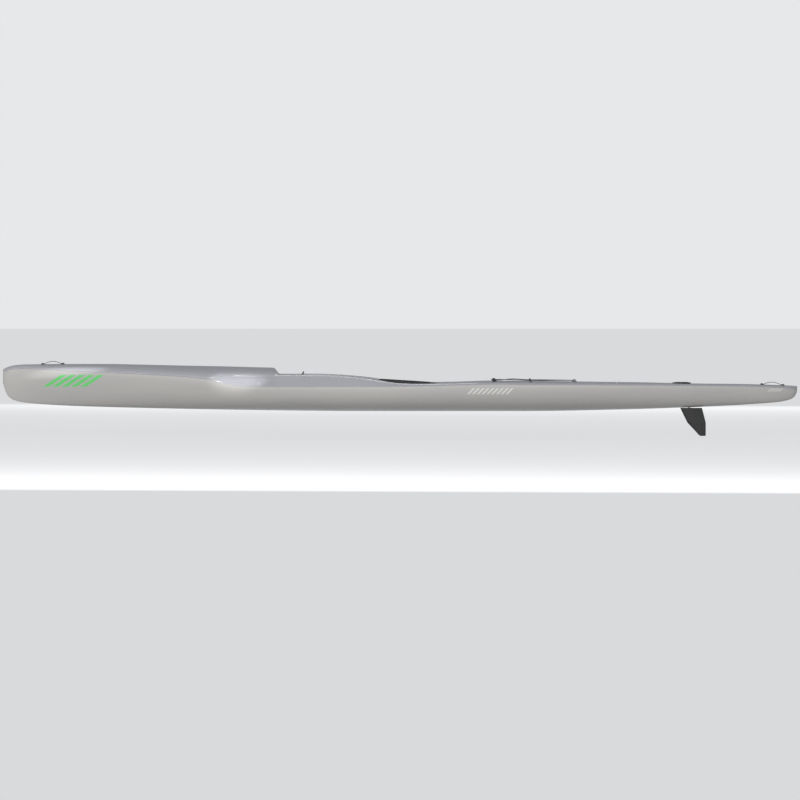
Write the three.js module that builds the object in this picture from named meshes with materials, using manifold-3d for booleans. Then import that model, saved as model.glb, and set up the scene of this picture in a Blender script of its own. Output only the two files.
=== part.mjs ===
// A surfski: a long, narrow sit-on-top paddling craft with a steered rudder under its tail.
// Millimetres. X runs aft from mid-length, Y to starboard, Z up from the flat of the keel.
import * as THREE from 'three';
import { mergeVertices } from 'three/addons/utils/BufferGeometryUtils.js';
import Module from 'manifold-3d';

const wasm = await Module();
wasm.setup();

// Driving dimensions of the two mouldings.
const LENGTH = 5500;
const BEAM = 560;
const DEPTH = 326;
const WALL = 3;
const GAP = 0.3;
const OVERRUN = 60;
const LEAST = 1;

// The keel strip: half its flat width amidships, and at the two ends.
const keelStrip = { half: 30, halfAtEnd: 4 };

// Shares of the length, from the bow at -0.5 to the stern at 0.5, against shares of the depth.
const keelShares = [
  [-0.5, 0.6], [-0.4975, 0.46], [-0.494, 0.325], [-0.489, 0.25], [-0.48, 0.198], [-0.465, 0.165],
  [-0.44, 0.132], [-0.4, 0.1], [-0.35, 0.077], [-0.3, 0.056], [-0.25, 0.0395], [-0.2, 0.026],
  [-0.15, 0.0145], [-0.1, 0.005], [-0.063, 0], [0.176, 0], [0.22, 0.012], [0.27, 0.031],
  [0.32, 0.054], [0.36, 0.08], [0.4, 0.104], [0.43, 0.134], [0.455, 0.163], [0.475, 0.19],
  [0.487, 0.226], [0.494, 0.268], [0.498, 0.335], [0.5, 0.42],
];
const seamShares = [
  [-0.5, 0.83], [-0.49, 0.877], [-0.48, 0.893], [-0.468, 0.898], [-0.44, 0.872], [-0.42, 0.855],
  [-0.397, 0.838], [-0.365, 0.815], [-0.315, 0.775], [-0.264, 0.722], [-0.2355, 0.669],
  [-0.22, 0.585], [-0.2066, 0.546], [-0.19, 0.527], [-0.15, 0.525], [-0.05, 0.53], [0, 0.535],
  [0.05, 0.55], [0.1, 0.573], [0.126, 0.577], [0.176, 0.567], [0.25, 0.56], [0.33, 0.552],
  [0.4, 0.535], [0.43, 0.532], [0.46, 0.51], [0.48, 0.495], [0.5, 0.46],
];
const deckShares = [
  [-0.5, 0.875], [-0.4985, 0.9], [-0.496, 0.922], [-0.491, 0.951], [-0.4836, 0.978],
  [-0.4736, 0.99], [-0.4535, 0.994], [-0.41, 1], [-0.365, 1], [-0.34, 0.992], [-0.302, 0.977],
  [-0.264, 0.963], [-0.227, 0.952], [-0.195, 0.937], [-0.168, 0.925], [-0.1593, 0.922],
  [-0.152, 0.781], [-0.0945, 0.781], [-0.0819, 0.766], [-0.063, 0.7485], [-0.05, 0.724],
  [-0.0378, 0.7117], [-0.0276, 0.681], [-0.0125, 0.62], [0, 0.607], [0.0253, 0.594],
  [0.0378, 0.598], [0.063, 0.6086], [0.088, 0.6196], [0.107, 0.647], [0.132, 0.64],
  [0.183, 0.635], [0.245, 0.62], [0.302, 0.609], [0.34, 0.595], [0.365, 0.585], [0.4, 0.579],
  [0.44, 0.572], [0.4724, 0.552], [0.491, 0.5415], [0.5, 0.5276],
];
// Half-breadth at the seam, in shares of half the beam.
const planShares = [
  [-0.5, 0.02], [-0.4975, 0.035], [-0.48, 0.1], [-0.44, 0.215], [-0.4, 0.315], [-0.35, 0.43],
  [-0.3, 0.54], [-0.25, 0.645], [-0.2, 0.755], [-0.15, 0.85], [-0.1, 0.925], [-0.05, 0.975],
  [0, 1], [0.05, 0.995], [0.1, 0.965], [0.15, 0.91], [0.2, 0.835], [0.25, 0.745], [0.3, 0.64],
  [0.35, 0.525], [0.4, 0.405], [0.44, 0.305], [0.47, 0.225], [0.49, 0.15], [0.498, 0.08],
  [0.5, 0.035],
];
// How far the deck's first fold stands in from the seam, in shares of half the beam, and above
// it, in shares of the depth. The paddle's cut-away beside the foot well is widest at -0.19.
const foldInShares = [
  [-0.5, 0.004], [-0.3, 0.016], [-0.2355, 0.02], [-0.225, 0.11], [-0.214, 0.23], [-0.2066, 0.28],
  [-0.19, 0.29], [-0.175, 0.25], [-0.1625, 0.19], [-0.152, 0.15], [-0.127, 0.13], [-0.095, 0.12],
  [-0.063, 0.11], [-0.0275, 0.085], [0, 0.057], [0.025, 0.036], [0.073, 0.028], [0.1, 0.028],
  [0.4, 0.018], [0.5, 0.004],
];
const foldUpShares = [
  [-0.5, 0.01], [-0.3, 0.02], [-0.2355, 0.03], [-0.225, 0.13], [-0.214, 0.172],
  [-0.2066, 0.19], [-0.19, 0.21], [-0.175, 0.214], [-0.1625, 0.215], [-0.152, 0.238],
  [-0.127, 0.235], [-0.095, 0.232], [-0.063, 0.196], [-0.0275, 0.115], [0, 0.055],
  [0.025, 0.036], [0.073, 0.03], [0.1, 0.028], [0.4, 0.018], [0.5, 0.01],
];
// Where the flank breaks between the seam and that fold, in shares of the two offsets.
const breakInShares = [[-0.5, 0.3], [-0.24, 0.3], [-0.2066, 0.06], [-0.19, 0.08], [-0.1745, 0.3],
  [-0.1625, 0.8], [0.5, 0.8]];
const breakUpShares = [[-0.5, 0.5], [-0.24, 0.5], [-0.2066, 0.12], [-0.19, 0.16], [-0.1745, 0.56],
  [-0.1625, 0.88], [0.5, 0.88]];
// Fullness of the bottom and of the deck: 2 is an ellipse, more is boxier.
const bottomFullness = [[-0.5, 1.5], [-0.35, 1.75], [-0.15, 2.15], [0.1, 2.3], [0.35, 2.1], [0.5, 1.9]];
const crownFullness = [[-0.5, 1.7], [-0.1593, 1.75], [-0.152, 7], [0.07, 7], [0.107, 2.6], [0.5, 2.3]];
// How far the crown is squared off: past 1 its middle is cut flat, as on the side decks.
const crownSquare = [[-0.5, 1], [-0.1593, 1], [-0.152, 1.12], [0.05, 1.12], [0.073, 1], [0.5, 1]];
// The stations of the two mouldings, in shares of the length.
const stationShares = [
  -0.5, -0.4985, -0.496, -0.491, -0.4836, -0.47, -0.44, -0.4, -0.355, -0.31, -0.27, -0.2355,
  -0.225, -0.2145, -0.2066, -0.19, -0.1745, -0.1625, -0.1593, -0.152, -0.1185, -0.0945, -0.0819,
  -0.063, -0.045, -0.0276, -0.0125, 0, 0.0253, 0.05, 0.073, 0.09, 0.107, 0.14, 0.176, 0.22,
  0.27, 0.32, 0.36, 0.4, 0.44, 0.47, 0.487, 0.495, 0.5,
];
const endShare = 0.48;
const BOTTOM_STEPS = 6;
const CROWN_STEPS = 4;

// The cockpit well: its half-width, floor and corner radius along the length.
const HALF = BEAM / 2;
const well = {
  front: -0.169 * LENGTH, tunnelEnd: -0.152 * LENGTH, back: 0.061 * LENGTH,
  footHalf: 0.607 * HALF, thighHalf: 0.543 * HALF, seatHalf: 0.736 * HALF,
  foot: 0.1166 * DEPTH, thigh: 0.356 * DEPTH, seat: 0.147 * DEPTH, tunnelTop: 0.7577 * DEPTH,
  corner: 34, seatCorner: 92, draft: 6,
};
const wellStations = [
  // along, half-width, floor, corner
  [well.front, well.footHalf * 0.7, well.foot * 1.9, well.corner],
  [well.front * 0.985, well.footHalf * 0.86, well.foot * 1.3, well.corner],
  [well.front * 0.96, well.footHalf * 0.93, well.foot, well.corner],
  [well.tunnelEnd, well.footHalf * 0.96, well.foot, well.corner],
  [well.front * 0.75, well.footHalf, well.foot, well.corner],
  [well.front * 0.53, well.footHalf, well.foot, well.corner],
  [well.front * 0.46, well.footHalf * 0.97, well.foot * 1.25, well.corner],
  [well.front * 0.37, well.thighHalf, well.thigh * 0.8, well.corner * 1.3],
  [well.front * 0.29, well.thighHalf * 0.99, well.thigh, well.corner * 1.5],
  [well.front * 0.21, well.thighHalf * 1.07, well.thigh, well.seatCorner * 0.7],
  [well.front * 0.12, well.seatHalf * 0.93, well.seat * 1.75, well.seatCorner],
  [well.front * 0.04, well.seatHalf, well.seat * 1.15, well.seatCorner],
  [well.back * 0.12, well.seatHalf, well.seat, well.seatCorner],
  [well.back * 0.33, well.seatHalf * 0.98, well.seat * 1.2, well.seatCorner],
  [well.back * 0.52, well.seatHalf * 0.9, well.seat * 1.75, well.seatCorner * 0.9],
  [well.back * 0.68, well.seatHalf * 0.76, well.seat * 2.5, well.seatCorner * 0.7],
  [well.back * 0.82, well.seatHalf * 0.58, well.seat * 3.2, well.seatCorner * 0.5],
  [well.back, well.seatHalf * 0.3, well.seat * 4, well.seatCorner * 0.3],
];

// Colours of the materials.
const finishes = {
  shell: { color: 0xadacab, roughness: 0.32, metalness: 0 },
  deck: { color: 0xb2b3b8, roughness: 0.3, metalness: 0 },
  black: { color: 0x1b1b1d, roughness: 0.6, metalness: 0 },
  foam: { color: 0x222325, roughness: 0.95, metalness: 0 },
  webbing: { color: 0x17181a, roughness: 0.9, metalness: 0 },
  steel: { color: 0xb9bcc0, roughness: 0.3, metalness: 1 },
  alloy: { color: 0x8e9195, roughness: 0.4, metalness: 1 },
  blade: { color: 0x2a2b2d, roughness: 0.42, metalness: 0 },
  grey: { color: 0xcfd0d1, roughness: 0.5, metalness: 0 },
  line: { color: 0xd8d2b4, roughness: 0.8, metalness: 0 },
  tube: { color: 0xe6e4dc, roughness: 0.5, metalness: 0 },
  core: { color: 0xe9e4d2, roughness: 0.95, metalness: 0 },
};

const surfski = new THREE.Group();
surfski.name = 'surfski';

// Curves through tables: a smooth function that never swings past its points.
function curveThrough(table, along, up) {
  const x = table.map((row) => row[0] * along);
  const v = table.map((row) => row[1] * up);
  const slope = x.slice(1).map((here, i) => (v[i + 1] - v[i]) / (here - x[i]));
  const lean = v.map((_, i) => {
    if (i === 0) return slope[0];
    if (i === v.length - 1) return slope[i - 1];
    if (slope[i - 1] * slope[i] <= 0) return 0;
    return (2 * slope[i - 1] * slope[i]) / (slope[i - 1] + slope[i]);
  });
  return (at) => {
    const here = Math.min(Math.max(at, x[0]), x[x.length - 1]);
    let i = 0;
    while (i < x.length - 2 && here > x[i + 1]) i += 1;
    const span = x[i + 1] - x[i];
    const t = (here - x[i]) / span;
    const a = 2 * t ** 3 - 3 * t ** 2 + 1;
    const b = t ** 3 - 2 * t ** 2 + t;
    const c = 3 * t ** 2 - 2 * t ** 3;
    const d = t ** 3 - t ** 2;
    return a * v[i] + b * span * lean[i] + c * v[i + 1] + d * span * lean[i + 1];
  };
}

const keelAt = curveThrough(keelShares, LENGTH, DEPTH);
const seamAt = curveThrough(seamShares, LENGTH, DEPTH);
const deckAt = curveThrough(deckShares, LENGTH, DEPTH);
const breadthAt = curveThrough(planShares, LENGTH, HALF);
const foldInAt = curveThrough(foldInShares, LENGTH, HALF);
const foldUpAt = curveThrough(foldUpShares, LENGTH, DEPTH);
const breakInAt = curveThrough(breakInShares, LENGTH, 1);
const breakUpAt = curveThrough(breakUpShares, LENGTH, 1);
const bottomAt = curveThrough(bottomFullness, LENGTH, 1);
const crownAt = curveThrough(crownFullness, LENGTH, 1);
const squareAt = curveThrough(crownSquare, LENGTH, 1);

// A closed body through rings of the same count, with its two ends capped.
function loft(rings) {
  const count = rings[0].length;
  const points = rings.flat();
  const faces = [];
  rings.slice(1).forEach((_, r) => {
    for (let i = 0; i < count; i += 1) {
      const j = (i + 1) % count;
      const [a, b, c, d] = [r * count + i, r * count + j, (r + 1) * count + j, (r + 1) * count + i];
      if (i < count / 2) faces.push(a, b, c, a, c, d);
      else faces.push(a, b, d, b, c, d);
    }
  });
  [0, rings.length - 1].forEach((r) => {
    const middle = rings[r].reduce((sum, p) => sum.map((s, k) => s + p[k] / count), [0, 0, 0]);
    points.push(middle);
    for (let i = 0; i < count; i += 1) {
      const [a, b] = [r * count + i, r * count + ((i + 1) % count)];
      faces.push(...(r === 0 ? [points.length - 1, b, a] : [points.length - 1, a, b]));
    }
  });
  const geometry = new THREE.BufferGeometry();
  geometry.setAttribute('position', new THREE.Float32BufferAttribute(points.flat(), 3));
  geometry.setIndex(faces);
  if (volumeOf(geometry) < 0) turnOver(geometry);
  return geometry;
}

function volumeOf(geometry) {
  const p = geometry.attributes.position;
  const index = geometry.index.array;
  const [a, b, c] = [new THREE.Vector3(), new THREE.Vector3(), new THREE.Vector3()];
  let sum = 0;
  for (let i = 0; i < index.length; i += 3) {
    a.fromBufferAttribute(p, index[i]);
    b.fromBufferAttribute(p, index[i + 1]);
    c.fromBufferAttribute(p, index[i + 2]);
    sum += a.dot(b.cross(c)) / 6;
  }
  return sum;
}

function turnOver(geometry) {
  const index = geometry.index.array;
  for (let i = 0; i < index.length; i += 3) [index[i + 1], index[i + 2]] = [index[i + 2], index[i + 1]];
}

// Solids, for cutting and joining.
function solidOf(geometry) {
  const plain = geometry.clone();
  plain.deleteAttribute('normal');
  plain.deleteAttribute('uv');
  const merged = mergeVertices(plain, 1e-4);
  return new wasm.Manifold(new wasm.Mesh({
    numProp: 3,
    vertProperties: new Float32Array(merged.attributes.position.array),
    triVerts: new Uint32Array(merged.index.array),
  }));
}

function geometryOf(solid) {
  const mesh = solid.getMesh();
  const geometry = new THREE.BufferGeometry();
  geometry.setAttribute('position', new THREE.Float32BufferAttribute(mesh.vertProperties, 3));
  geometry.setIndex(Array.from(mesh.triVerts));
  return geometry;
}

const cut = (body, ...tools) => tools.reduce((left, tool) => left.subtract(tool), body);
const join = (body, ...more) => more.reduce((all, one) => all.add(one), body);

function place(name, finish, shape) {
  const geometry = shape.isBufferGeometry ? shape : geometryOf(shape);
  const material = new THREE.MeshStandardMaterial(finishes[finish]);
  const mesh = new THREE.Mesh(geometry, material);
  mesh.name = name;
  surfski.add(mesh);
  return mesh;
}

// Plain solids, each centred on x and y and standing on its own foot height.
function block(long, wide, high, x, y, foot) {
  const geometry = new THREE.BoxGeometry(long, wide, high);
  return solidOf(geometry.translate(x, y, foot + high / 2));
}

function post(radius, high, x, y, foot, sides = 16) {
  const geometry = new THREE.CylinderGeometry(radius, radius, high, sides);
  return solidOf(geometry.rotateX(Math.PI / 2).translate(x, y, foot + high / 2));
}

function rodAcross(radius, long, x, y, z, sides = 10) {
  const geometry = new THREE.CylinderGeometry(radius, radius, long, sides);
  return solidOf(geometry.translate(x, y, z));
}

function turned(profile, x, y, foot, sides = 20) {
  const points = profile.map(([r, z]) => new THREE.Vector2(r, z));
  const geometry = new THREE.LatheGeometry(points, sides);
  const solid = solidOf(geometry.rotateX(Math.PI / 2).translate(x, y, foot));
  return solid;
}

// An outline drawn in side view, x aft and z up, given a width across the craft.
function sideCut(outline, wide, y) {
  const shape = new THREE.Shape(outline.map(([x, z]) => new THREE.Vector2(x, z)));
  const geometry = new THREE.ExtrudeGeometry(shape, { depth: wide, bevelEnabled: false });
  return solidOf(geometry.rotateX(Math.PI / 2).translate(0, y + wide / 2, 0));
}

// An outline drawn looking aft, y to starboard and z up, given a length along the craft.
function frontCut(outline, long, x) {
  const shape = new THREE.Shape(outline.map(([y, z]) => new THREE.Vector2(y, z)));
  const geometry = new THREE.ExtrudeGeometry(shape, { depth: long, bevelEnabled: false });
  geometry.rotateX(Math.PI / 2).rotateZ(Math.PI / 2).translate(x - long / 2, 0, 0);
  return solidOf(geometry);
}

// Sections of the mouldings. Each runs from the starboard seam to the port seam.
const mirrored = (half) => [...half, ...half.slice(0, -1).reverse().map(([y, z]) => [-y, z])];
const ringAt = (x, section) => section.map(([y, z]) => [x, y, z]);

function bottomSection(x, inset) {
  const breadth = breadthAt(x) - inset;
  const keel = keelAt(x) + inset;
  const seam = seamAt(x);
  const bow = Math.max(-x, 0) / LENGTH;
  const flat = Math.min(
    keelStrip.halfAtEnd + (keelStrip.half - keelStrip.halfAtEnd) * (1 - 2 * bow) ** 2,
    breadth * 0.4,
  );
  const power = 2 / bottomAt(x);
  const half = [];
  for (let i = 0; i <= BOTTOM_STEPS; i += 1) {
    const turn = (Math.PI / 2) * (1 - i / BOTTOM_STEPS);
    half.push([
      flat + (breadth - flat) * Math.sin(turn) ** power,
      seam - (seam - keel) * Math.cos(turn) ** power,
    ]);
  }
  half[0] = [breadth, seam];
  half[BOTTOM_STEPS] = [flat, keel];
  if (inset > 0) half.unshift([breadth, seam + OVERRUN]);
  const other = half.slice().reverse().map(([y, z]) => [-y, z]);
  return [...half, ...other];
}

function deckSection(x, inset, lift) {
  const breadth = breadthAt(x) - inset;
  const seam = seamAt(x) + lift;
  const foldY = breadth - foldInAt(x);
  const foldZ = seamAt(x) + foldUpAt(x) - inset / 2;
  const crown = Math.max(deckAt(x) - inset, foldZ + LEAST);
  const half = [
    [breadth, seam],
    [breadth - foldInAt(x) * breakInAt(x), seam + (foldZ - seam) * breakUpAt(x)],
  ];
  const power = 2 / crownAt(x);
  for (let i = 0; i <= CROWN_STEPS; i += 1) {
    const turn = (Math.PI / 2) * (i / CROWN_STEPS);
    const up = Math.min(squareAt(x) * Math.sin(turn) ** power, 1);
    half.push([foldY * Math.cos(turn) ** power, foldZ + (crown - foldZ) * up]);
  }
  half[half.length - 1] = [0, crown];
  if (inset > 0) half.unshift([breadth, seamAt(x) - OVERRUN / 2]);
  return mirrored(half);
}

const stations = stationShares.map((share) => share * LENGTH);
const innerStations = stationShares.filter((share) => Math.abs(share) < endShare)
  .map((share) => share * LENGTH);
const hullOutside = solidOf(loft(stations.map((x) => ringAt(x, bottomSection(x, 0)))));
const hullInside = solidOf(loft(innerStations.map((x) => ringAt(x, bottomSection(x, WALL)))));
const deckOutside = solidOf(loft(stations.map((x) => ringAt(x, deckSection(x, 0, GAP)))));
const deckInside = solidOf(loft(innerStations.map((x) => ringAt(x, deckSection(x, WALL, 0)))));

// The well's section: flat floor, rounded corners and walls that lean out a little.
function wellSection([, halfWidth, floor, corner], rim, grow, topAt) {
  const half = halfWidth + grow;
  const foot = floor - grow;
  const deep = rim - foot;
  const radius = Math.min(corner + grow, deep * 0.85, half * 0.7);
  const wall = half - well.draft;
  const section = [[half, topAt], [half, rim]];
  for (let i = 0; i <= 3; i += 1) {
    const turn = (Math.PI / 2) * (i / 3);
    section.push([
      wall - radius + radius * Math.cos(turn),
      foot + radius - radius * Math.sin(turn),
    ]);
  }
  return mirrored([...section, [0, foot]]);
}

function wellSolid(grow, openTop, tunnelTop) {
  const rings = [];
  wellStations.forEach((row, i) => {
    const first = i === 0;
    const last = i === wellStations.length - 1;
    const x = row[0] + (first ? -grow : 0) + (last ? grow : 0);
    const rim = deckAt(Math.max(row[0], well.tunnelEnd)) - WALL;
    const inTunnel = row[0] <= well.tunnelEnd;
    const top = inTunnel ? tunnelTop : openTop(row[0]);
    rings.push(ringAt(x, wellSection(row, Math.min(rim, top - LEAST), grow, top)));
    if (row[0] === well.tunnelEnd) {
      const open = openTop(row[0]);
      rings.push(ringAt(x + GAP, wellSection(row, Math.min(rim, open - LEAST), grow, open)));
    }
  });
  return solidOf(loft(rings));
}

const openAbove = (x) => deckAt(x) + OVERRUN;
const wellSpace = wellSolid(0, openAbove, well.tunnelTop);
const linerOutside = wellSolid(WALL, openAbove, well.tunnelTop + WALL);

// The height of the deck's outside at a place, and a solid cut to sit on it with a thin gap.
function deckTopAt(x, y) {
  const foldY = breadthAt(x) - foldInAt(x);
  const foldZ = seamAt(x) + foldUpAt(x);
  const turn = Math.acos(Math.min(Math.abs(y) / foldY, 1) ** (crownAt(x) / 2));
  const up = Math.min(squareAt(x) * Math.sin(turn) ** (2 / crownAt(x)), 1);
  return foldZ + (deckAt(x) - foldZ) * up;
}
const seated = (solid) => solid.subtract(deckOutside.translate([0, 0, GAP]));

// The mouldings start whole; each fitting below cuts its own openings in them. The cockpit's liner
// hangs in the deck's opening and is split where it changes shape: tunnel, foot well, seat well.
const underDeck = solidOf(loft(stations.map((x) => ringAt(x, deckSection(x, 0, -DEPTH / 2)))));
const linerRoom = wellSolid(WALL + GAP, openAbove, well.tunnelTop + WALL + GAP);
let deckShell = cut(deckOutside, deckInside, linerRoom);
let hullShell = cut(hullOutside, hullInside);
let liner = cut(linerOutside.intersect(underDeck), wellSpace);
const linerPart = (from, to) => liner.intersect(
  block(to - from - GAP, BEAM, 2 * DEPTH, (from + to) / 2, 0, 0),
);

// Seat: a foam pad that lines the bucket and stands a little above the rim at its front, and a
// block of core foam that carries the bucket on the hull's bottom.
const pad = {
  thick: 7, front: 0.161 * well.front, middle: 0.61 * well.back, back: 0.864 * well.back,
  low: 0.092 * DEPTH, frontTop: 0.675 * DEPTH, middleTop: 0.61 * DEPTH, backTop: 0.577 * DEPTH,
};
const support = { long: 190, wide: 200, at: 0.134 * well.back };

function seatPad() {
  const outline = [
    [pad.front, pad.low], [pad.front, pad.frontTop], [pad.middle, pad.middleTop],
    [pad.back, pad.backTop], [pad.back, pad.low],
  ];
  const zone = sideCut(outline, BEAM, 0);
  const outer = wellSolid(-GAP, openAbove, well.tunnelTop);
  const inner = wellSolid(-GAP - pad.thick, (x) => openAbove(x) + OVERRUN, well.tunnelTop);
  return cut(outer.intersect(zone), inner);
}

function seatSupport() {
  const core = block(support.long, support.wide, well.foot * 2, support.at, 0, 0);
  const room = hullInside.translate([0, 0, GAP]);
  return cut(core.intersect(room), linerOutside.translate([0, 0, -GAP]));
}
place('seat_pad', 'foam', seatPad());
place('seat_support_foam', 'core', seatSupport());

// Foot rest: two slotted rails on the well's floor and a plate that slides along them. A bolt in
// each slot, with a knob screwed down on it, holds the plate. Two steering pedals are hinged on
// its top edge, and a strap goes over the insteps.
const rail = { fromFront: 50, long: 320, apart: 160, wide: 22, high: 9, slot: 8, lip: 3, room: 14 };
const railFront = well.front + rail.fromFront;
const plate = {
  onRail: 50, long: 120, wide: 232, thick: 4, ear: 12, upright: 5, rake: 36, underRoof: 67,
};
const plateFront = railFront + plate.onRail;
const uprightTop = well.tunnelTop - plate.underRoof;
const uprightWide = plate.wide + 2 * plate.ear;
const hinge = { radius: 6, pin: 3, over: 4, up: 7, lug: 18, room: 0.5 };
const hingeAt = { x: plateFront - plate.rake + hinge.over, z: uprightTop + hinge.up };
const pedal = { high: 53, lean: 14, thick: 5 };
const knob = { onPlate: 45, radius: 14, high: 15, neck: 7, neckHigh: 3 };
const railBolt = { radius: 3, head: 13, headHigh: 2.2, under: 0.4, proud: 9 };
const knobX = plateFront + knob.onPlate;
const strap = { onPlate: 97, wide: 38, thick: 2.5, inset: 15, high: 104, tab: 14, steps: 12 };
const strapX = plateFront + strap.onPlate;
const strapHalf = plate.wide / 2 - strap.inset;
const buckle = { wide: 22, thick: 4, overlap: 3 };
const railFoot = well.foot + GAP;
const plateFoot = railFoot + rail.high + GAP;
const plateTop = plateFoot + plate.thick;

function footRail(side) {
  const [half, slot, room] = [rail.wide / 2, rail.slot / 2, rail.room / 2];
  const up = rail.high - rail.lip;
  const section = [
    [-half, 0], [half, 0], [half, rail.high], [slot, rail.high], [slot, up], [room, up],
    [room, rail.lip], [-room, rail.lip], [-room, up], [-slot, up], [-slot, rail.high],
    [-half, rail.high],
  ].map(([y, z]) => [y + (side * rail.apart) / 2, z + railFoot]);
  return frontCut(section, rail.long, railFront + rail.long / 2);
}

function footPlate() {
  const middle = plateFront + plate.long / 2;
  let body = block(plate.long, plate.wide, plate.thick, middle, 0, plateFoot);
  const foot = plateFront + plate.upright;
  const upright = [
    [foot, plateTop - LEAST], [foot + plate.upright, plateTop - LEAST],
    [foot + plate.upright - plate.rake, uprightTop], [foot - plate.rake, uprightTop],
  ];
  body = join(body, sideCut(upright, uprightWide, 0));
  const gusset = [
    [foot, plateTop - LEAST], [foot + plate.rake, plateTop - LEAST],
    [foot - plate.rake / 3, plateTop + plate.rake],
  ];
  [-1, 1].forEach((side) => {
    body = join(body, sideCut(gusset, plate.upright, (side * plate.wide) / 4));
  });
  const ends = (uprightWide - hinge.lug) / 2;
  [-ends, 0, ends].forEach((y) => {
    body = join(body, rodAcross(hinge.radius, hinge.lug, hingeAt.x, y, hingeAt.z, 12));
    const lugFoot = hingeAt.z - hinge.radius * 2;
    body = join(body, block(hinge.radius * 2, hinge.lug, hinge.radius * 2, hingeAt.x, y, lugFoot));
  });
  body = cut(body, rodAcross(hinge.pin + GAP, uprightWide + OVERRUN, hingeAt.x, 0, hingeAt.z));
  [-1, 1].forEach((side) => {
    const hole = post(railBolt.radius + 2 * GAP, OVERRUN / 2, knobX, (side * rail.apart) / 2, railFoot);
    body = cut(body, hole);
  });
  return body;
}

function steeringPedal(side) {
  const inner = hinge.lug / 2 + hinge.room;
  const outer = uprightWide / 2 - hinge.lug - hinge.room;
  const middle = (side * (inner + outer)) / 2;
  const face = [
    [hingeAt.x - pedal.thick / 2, hingeAt.z], [hingeAt.x + pedal.thick / 2, hingeAt.z],
    [hingeAt.x + pedal.thick / 2 - pedal.lean, hingeAt.z + pedal.high],
    [hingeAt.x - pedal.thick / 2 - pedal.lean, hingeAt.z + pedal.high],
  ];
  const barrel = rodAcross(hinge.radius, outer - inner, hingeAt.x, middle, hingeAt.z, 12);
  const body = join(barrel, sideCut(face, outer - inner, middle));
  return cut(body, rodAcross(hinge.pin + GAP, outer, hingeAt.x, middle, hingeAt.z));
}

function boltOf(side) {
  const foot = railFoot + rail.lip + railBolt.under;
  const y = (side * rail.apart) / 2;
  const head = block(railBolt.head, railBolt.head, railBolt.headHigh, knobX, y, foot);
  return join(head, post(railBolt.radius, plateTop + railBolt.proud - foot, knobX, y, foot));
}

function lockKnob(side) {
  const y = (side * rail.apart) / 2;
  const foot = plateTop + GAP;
  const profile = [
    [0, 0], [knob.neck, 0], [knob.neck, knob.neckHigh], [knob.radius, knob.neckHigh * 1.6],
    [knob.radius, knob.high * 0.85], [knob.radius * 0.8, knob.high], [0, knob.high],
  ];
  const bore = post(railBolt.radius + GAP, railBolt.proud + GAP, knobX, y, plateTop);
  return cut(turned(profile, knobX, y, foot, 10), bore);
}

function ribbon(turn, offset) {
  return [
    (strapHalf + offset) * Math.cos(turn),
    plateTop + GAP + strap.thick + (strap.high + offset) * Math.sin(turn) ** 0.8,
  ];
}

function footStrap() {
  const over = [];
  const under = [];
  for (let i = 0; i <= strap.steps; i += 1) {
    const turn = (Math.PI * i) / strap.steps;
    over.push(ribbon(turn, strap.thick));
    under.push(ribbon(turn, 0));
  }
  const low = plateTop + GAP;
  const tabEnd = strapHalf + strap.tab;
  const outline = [
    [tabEnd, low], [tabEnd, low + strap.thick], ...over,
    [-tabEnd, low + strap.thick], [-tabEnd, low], [-strapHalf, low],
    ...under.reverse(), [strapHalf, low],
  ];
  return frontCut(outline, strap.wide, strapX);
}

function strapBuckle() {
  const low = ribbon(Math.PI / 2, strap.thick)[1] + GAP;
  return block(strap.wide + 2 * buckle.overlap, buckle.wide, buckle.thick, strapX, 0, low);
}

place('footplate', 'black', footPlate());
place('pedal_hinge_pin', 'steel', rodAcross(hinge.pin, uprightWide, hingeAt.x, 0, hingeAt.z));
place('foot_strap', 'webbing', footStrap());
place('strap_buckle', 'black', strapBuckle());
[['port', -1], ['starboard', 1]].forEach(([word, side]) => {
  place(`foot_rail_${word}`, 'alloy', footRail(side));
  place(`pedal_${word}`, 'black', steeringPedal(side));
  place(`rail_bolt_${word}`, 'steel', boltOf(side));
  place(`lock_knob_${word}`, 'black', lockKnob(side));
});

// Rudder: blade and stock below the hull, bushes in a tube bonded through it, tiller on top.
const rudderX = 0.364 * LENGTH;
const bladeReach = {
  fore: 61, midFore: 10.4, tipAft: 74, rootAft: 90, midAft: 116.4, midDeep: 103.2, deep: 194.5,
};
const rudder = {
  rootFront: rudderX - bladeReach.fore, midFront: rudderX - bladeReach.midFore,
  tipFront: rudderX + bladeReach.tipAft, rootBack: rudderX + bladeReach.rootAft,
  midBack: rudderX + bladeReach.midAft, tipBack: rudderX + bladeReach.midAft,
  under: 2.9, rootThick: 18, midThick: 14, tipThick: 5, stock: 5, bury: 88,
};
rudder.root = keelAt(rudder.rootFront) - rudder.under;
rudder.mid = rudder.root - bladeReach.midDeep;
rudder.tip = rudder.root - bladeReach.deep;
const hatchSink = 7.3;
const hatchX = 0.3545 * LENGTH;
const hatchSeat = deckAt(hatchX) - hatchSink;
const tube = { aboveKeel: 2, underHatch: 59.5, inside: 7.8, outside: 10 };
tube.foot = keelAt(rudderX) + tube.aboveKeel;
tube.top = hatchSeat - tube.underHatch;
const bush = { long: 20, outside: 7.5, flange: 10, lip: 3 };
const tiller = {
  above: 4, high: 18, hub: 11, half: 54, long: 18, thick: 5, armUp: 9.5, hole: 46, bore: 1.8,
  stockProud: 3, lineUp: 12, lineRoom: 0.4,
};
tiller.foot = tube.top + tiller.above;
const clampScrew = { radius: 2.4, long: 12, head: 4.2, headLong: 4 };

function bladeSection(front, back, thick, z) {
  const chord = back - front;
  const shares = [[0.06, 0.5], [0.22, 0.94], [0.42, 1], [0.7, 0.6]];
  const side = shares.map(([along, out]) => [front + chord * along, (thick / 2) * out]);
  return [
    [front, 0, z], ...side.map(([x, y]) => [x, y, z]), [back, 0, z],
    ...side.slice().reverse().map(([x, y]) => [x, -y, z]),
  ];
}

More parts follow.
